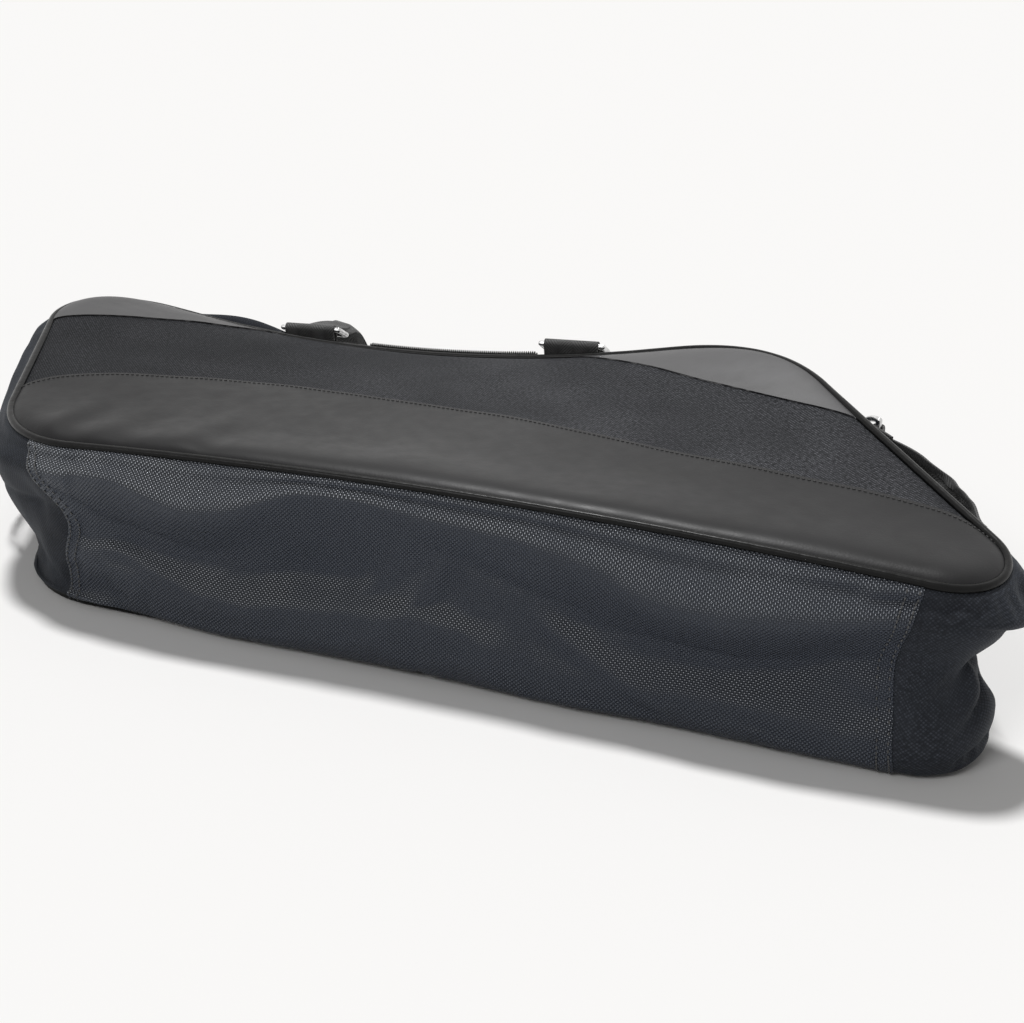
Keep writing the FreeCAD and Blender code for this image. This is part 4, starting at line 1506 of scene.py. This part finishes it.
def make_handle(name, spacing, matrix):
    """The strap, its padded grip and its two folds round the rings."""
    body = name + "_handle"
    place_out = matrix @ Matrix.Translation((0.0, RING_REACH, 0.0))
    back_out = place_out.inverted()
    total = handle_path(spacing, 0.0)[3]

    def gather_up(point):
        """The webbing stands up in a fold close to the left ring."""
        local = back_out @ point
        near = hump(local.x, CRUMPLE_PLACE.x - spacing / 2, CRUMPLE_SIZE.x)
        local.z += CRUMPLE * near * hump(local.y, CRUMPLE_PLACE.y, CRUMPLE_SIZE.y)
        return place_out @ local

    def strap(across, around):
        point, side, along, _total = handle_path(spacing, across)
        narrow = ease((min(along, total - along) - NARROWING_FROM) / NARROWING)
        width = WEBBING_WIDTH * (1 - narrow) + NARROW_WIDTH * narrow
        thickness = STRAP_THICKNESS * (1 - narrow) + NARROW_THICKNESS * narrow
        wide, thick = section(around, width, thickness, STRAP_SQUARENESS)
        level = STRAP_LEVEL + NARROW_RISE * narrow
        level += STRAP_WAVE * ruffle(along, wide, 0.030, 6.0)
        place = place_out @ (point + side * wide + UP * (level - FOLD_RADIUS + thick))
        return gather(place), along, wide

    def grip(across, around):
        share = 0.5 + (across - 0.5) * GRIP_LENGTH / total
        point, side, along, _total = handle_path(spacing, share)
        full = ease((0.5 - abs(across - 0.5)) / GRIP_ROUNDING) ** 0.5
        thickness = GRIP_END_THICKNESS * (1 - full) + GRIP_THICKNESS * full
        wide, thick = section(around, GRIP_WIDTH, thickness, GRIP_SQUARENESS)
        level = GRIP_LEVEL + GRIP_WAVE * ruffle(along, wide, 0.014, 8.0)
        up = UP * (level - FOLD_RADIUS + thick)
        return place_out @ (point + side * (wide * (0.96 + 0.04 * full)) + up), along, wide

    gather = gather_up if name == "front" else unmoved
    capped_tube("handle_" + name, 260, 44, strap, WEBBING_BLACK, body)
    capped_tube("handle_%s_grip" % name, 90, 40, grip, GRIP, body)
    flip = Matrix.Rotation(math.pi, 4, "Z")
    for side, centre in (("left", spacing / 2), ("right", -spacing / 2)):
        webbing_fold("handle_%s_fold_%s" % (name, side), centre, HANDLE_FOLD_LEGS,
                     place_out @ flip, body, 0.85, gather)


# ---- end straps ----

END_STRAP_WIDTH = 0.038
END_STRAP_TAIL = 0.020
END_SEAT = 0.00975
END_SEWN = 0.030
END_SINK = 0.0030
BOW_FROM = 0.004
BOW_TILT = 0.35
# Crumples of an end strap: height, share of its width that they follow, size and seed.
END_CRUMPLES = ((0.0034, 0.7, 0.022, 2.0), (0.0012, 0.5, 0.008, 5.0))
# The strap dips in and down just before the bar.
DIP_REACH = 0.045
DIP_END = 0.010
DIP_IN = 0.0045
DIP_DOWN = 0.0035
# Corners under and over the strap, its way out, start and end up the side, height, arch, droop.
END_STRAPS = {
    "right": (PATTERN_CORNERS[1], PATTERN_CORNERS[2], 1, 0.099, 0.218, 0.110, 0.0040, 0.014),
    "left": (PATTERN_CORNERS[0], PATTERN_CORNERS[3], -1, 0.070, 0.180, 0.057, 0.002, 0.0),
}


def make_end_strap(name):
    """Webbing sewn to an end wall, bowed up in the middle and folded round the D-ring's bar."""
    low, high, way, start, end, height, arch, droop = END_STRAPS[name]
    bar = end + FOLD_RADIUS
    run = bar - start
    turn = math.pi * FOLD_MIDDLE
    up_way = (high - low).normalized()
    out = outward(up_way) * way

    def place(across, over):
        along = across * (run + turn + END_STRAP_TAIL)
        edge = over - 0.5
        middle = height
        if along < run:
            distance = start + along
            bow = math.sin(math.pi * ease((along - BOW_FROM) / (run - END_SEWN))) ** 1.1
            crumple = sum(tall * ruffle(along, edge * part, size, seed)
                          for tall, part, size, seed in END_CRUMPLES)
            stand = END_SEAT + 2 * FOLD_MIDDLE
            stand += (arch * (1 - BOW_TILT * edge) + crumple * bow) * bow
            stand -= (2 * FOLD_MIDDLE + END_SINK) * ease(1 - along / END_SEWN)
            dip = ease(1 - (run - along) / DIP_REACH) * ease((run - along) / DIP_END)
            stand -= DIP_IN * dip
            middle -= DIP_DOWN * dip + droop * ease(1 - along / run)
        elif along < run + turn:
            angle = (along - run) / FOLD_MIDDLE
            distance = bar + FOLD_MIDDLE * math.sin(angle)
            stand = END_SEAT + FOLD_MIDDLE * (1 + math.cos(angle))
        else:
            distance = bar - (along - run - turn)
            stand = END_SEAT
        plan = low + up_way * distance + out * stand
        return (Vector((plan.x, plan.y, middle + END_STRAP_WIDTH * edge * way)),
                along, END_STRAP_WIDTH * over)

    grid_sheet("end_strap_" + name, 130, 30, place, WEBBING_BLACK, "bag", WEBBING, 0.0,
               WEBBING_RIM)


# ---- metal ----

SOLID_MERGE = 0.00001
SOFT_ANGLE = math.radians(32)


def make_metal(node, body, bevel):
    """A closed, smooth copy of a metal piece with softened edges."""
    bm = bmesh.new()
    bm.from_mesh(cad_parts[node].data)
    bmesh.ops.remove_doubles(bm, verts=bm.verts, dist=SOLID_MERGE)
    for face in bm.faces:
        face.smooth = True
    for edge in bm.edges:
        edge.smooth = edge.calc_face_angle(0.0) < SOFT_ANGLE
    obj = finish_piece(node, bm, METAL, body, rounded=False)
    if bevel:
        soften(obj, bevel, 2, 40)


# ---- floor, light and camera ----

FLOOR_SIZE = 8.0
FLOOR_DROP = 0.0004
FLOOR_COLOUR = (0.952, 0.945, 0.936, 1.0)
SKY_COLOUR = (1.0, 0.992, 0.982, 1.0)
SKY_LIGHT = 0.18
WINDOW_STRENGTH = 0.65
WINDOW_WIDTH = math.radians(22.0)
WINDOW_TILT = math.radians(50.0)
WINDOW_TURN = math.radians(-25.0)
SUN_STRENGTH = 2.28
SUN_WIDTH = math.radians(8.0)
SUN_TILT_BACK = math.radians(14.0)
SUN_TILT_SIDE = math.radians(-12.0)


def make_floor():
    bm = bmesh.new()
    bmesh.ops.create_grid(bm, x_segments=1, y_segments=1, size=FLOOR_SIZE)
    bmesh.ops.translate(bm, verts=bm.verts, vec=(0.0, 0.0, -FLOOR_DROP))
    floor = show("floor", mesh_of("floor", bm))
    material = bpy.data.materials.new("floor_paper")
    material.use_nodes = True
    tree = material.node_tree
    join(tree, tree.nodes["Principled BSDF"], {
        "Base Color": FLOOR_COLOUR, "Roughness": 0.9, "Specular IOR Level": 0.0})
    floor.data.materials.append(material)


def add_lamp(name, strength, width, turn):
    """A far lamp: its strength, how wide it looks and its turn from straight down."""
    data = bpy.data.lights.new(name, "SUN")
    data.energy = strength
    data.angle = width
    lamp = show(name, data)
    lamp.rotation_euler = turn


def make_light():
    """An overhead light from slightly behind and a weak broad one from in front, in a white room."""
    world = bpy.data.worlds.new("studio")
    bpy.context.scene.world = world
    world.use_nodes = True
    tree = world.node_tree
    background = tree.nodes["Background"]
    path = add(tree, "LightPath")
    seen = reckon(tree, "MAXIMUM", path.outputs["Is Camera Ray"], path.outputs["Is Glossy Ray"])
    seen = reckon(tree, "MAXIMUM", seen, path.outputs["Is Transmission Ray"])
    join(tree, background, {
        "Color": SKY_COLOUR, "Strength": ranged(tree, seen, 0.0, 1.0, SKY_LIGHT, 1.0)})
    add_lamp("overhead", SUN_STRENGTH, SUN_WIDTH, (-SUN_TILT_BACK, SUN_TILT_SIDE, 0.0))
    add_lamp("window", WINDOW_STRENGTH, WINDOW_WIDTH, (WINDOW_TILT, 0.0, WINDOW_TURN))


CAMERA_PLACE = (0.331, -0.851, 0.450)
CAMERA_AZIMUTH = math.radians(17.839)
CAMERA_ELEVATION = math.radians(24.0)
CAMERA_ROLL = math.radians(2.1)
LENS = 52.73


def make_camera():
    back = Vector((
        math.sin(CAMERA_AZIMUTH) * math.cos(CAMERA_ELEVATION),
        -math.cos(CAMERA_AZIMUTH) * math.cos(CAMERA_ELEVATION),
        math.sin(CAMERA_ELEVATION)))
    level = Vector((math.cos(CAMERA_AZIMUTH), math.sin(CAMERA_AZIMUTH), 0.0))
    up = back.cross(level)
    right = level * math.cos(CAMERA_ROLL) + up * math.sin(CAMERA_ROLL)
    top = up * math.cos(CAMERA_ROLL) - level * math.sin(CAMERA_ROLL)
    data = bpy.data.cameras.new("camera")
    data.lens = LENS
    data.sensor_width = 36.0
    camera = show("camera", data)
    turn = Matrix((right, top, back)).transposed().to_4x4()
    camera.matrix_world = Matrix.Translation(CAMERA_PLACE) @ turn
    bpy.context.scene.camera = camera
    bpy.context.scene.view_settings.view_transform = "Standard"


# ---- the whole bag ----

SLIDER_BEVEL = 0.0002
# Metal pieces in pairs, left and right: name, body and bevel.
FITTINGS = (
    ("handle_ring_front_{}", "front_rings", 0.0),
    ("handle_ring_back_{}", "back_rings", 0.0),
    ("zip_slider_{}", "slider_{}", SLIDER_BEVEL),
    ("zip_puller_{}", "puller_{}", SLIDER_BEVEL),
    ("d_ring_{}", "d_ring_{}", 0.0),
)
SIDES = ("left", "right")


def make_bag():
    make_panels()
    make_walls()
    for name in ("front", "back"):
        make_piping(name)
        make_binding(name)
        make_zip_half(name)
    make_tabs()
    make_handle("front", FRONT_SPACING, FRONT_PLACE)
    make_handle("back", BACK_SPACING, BACK_PLACE)
    for name in SIDES:
        make_zip_end(name)
        make_end_strap(name)
    for name, body, bevel in FITTINGS:
        for side in SIDES:
            make_metal(name.format(side), body.format(side), bevel)


make_camera()
make_floor()
make_light()
make_bag()
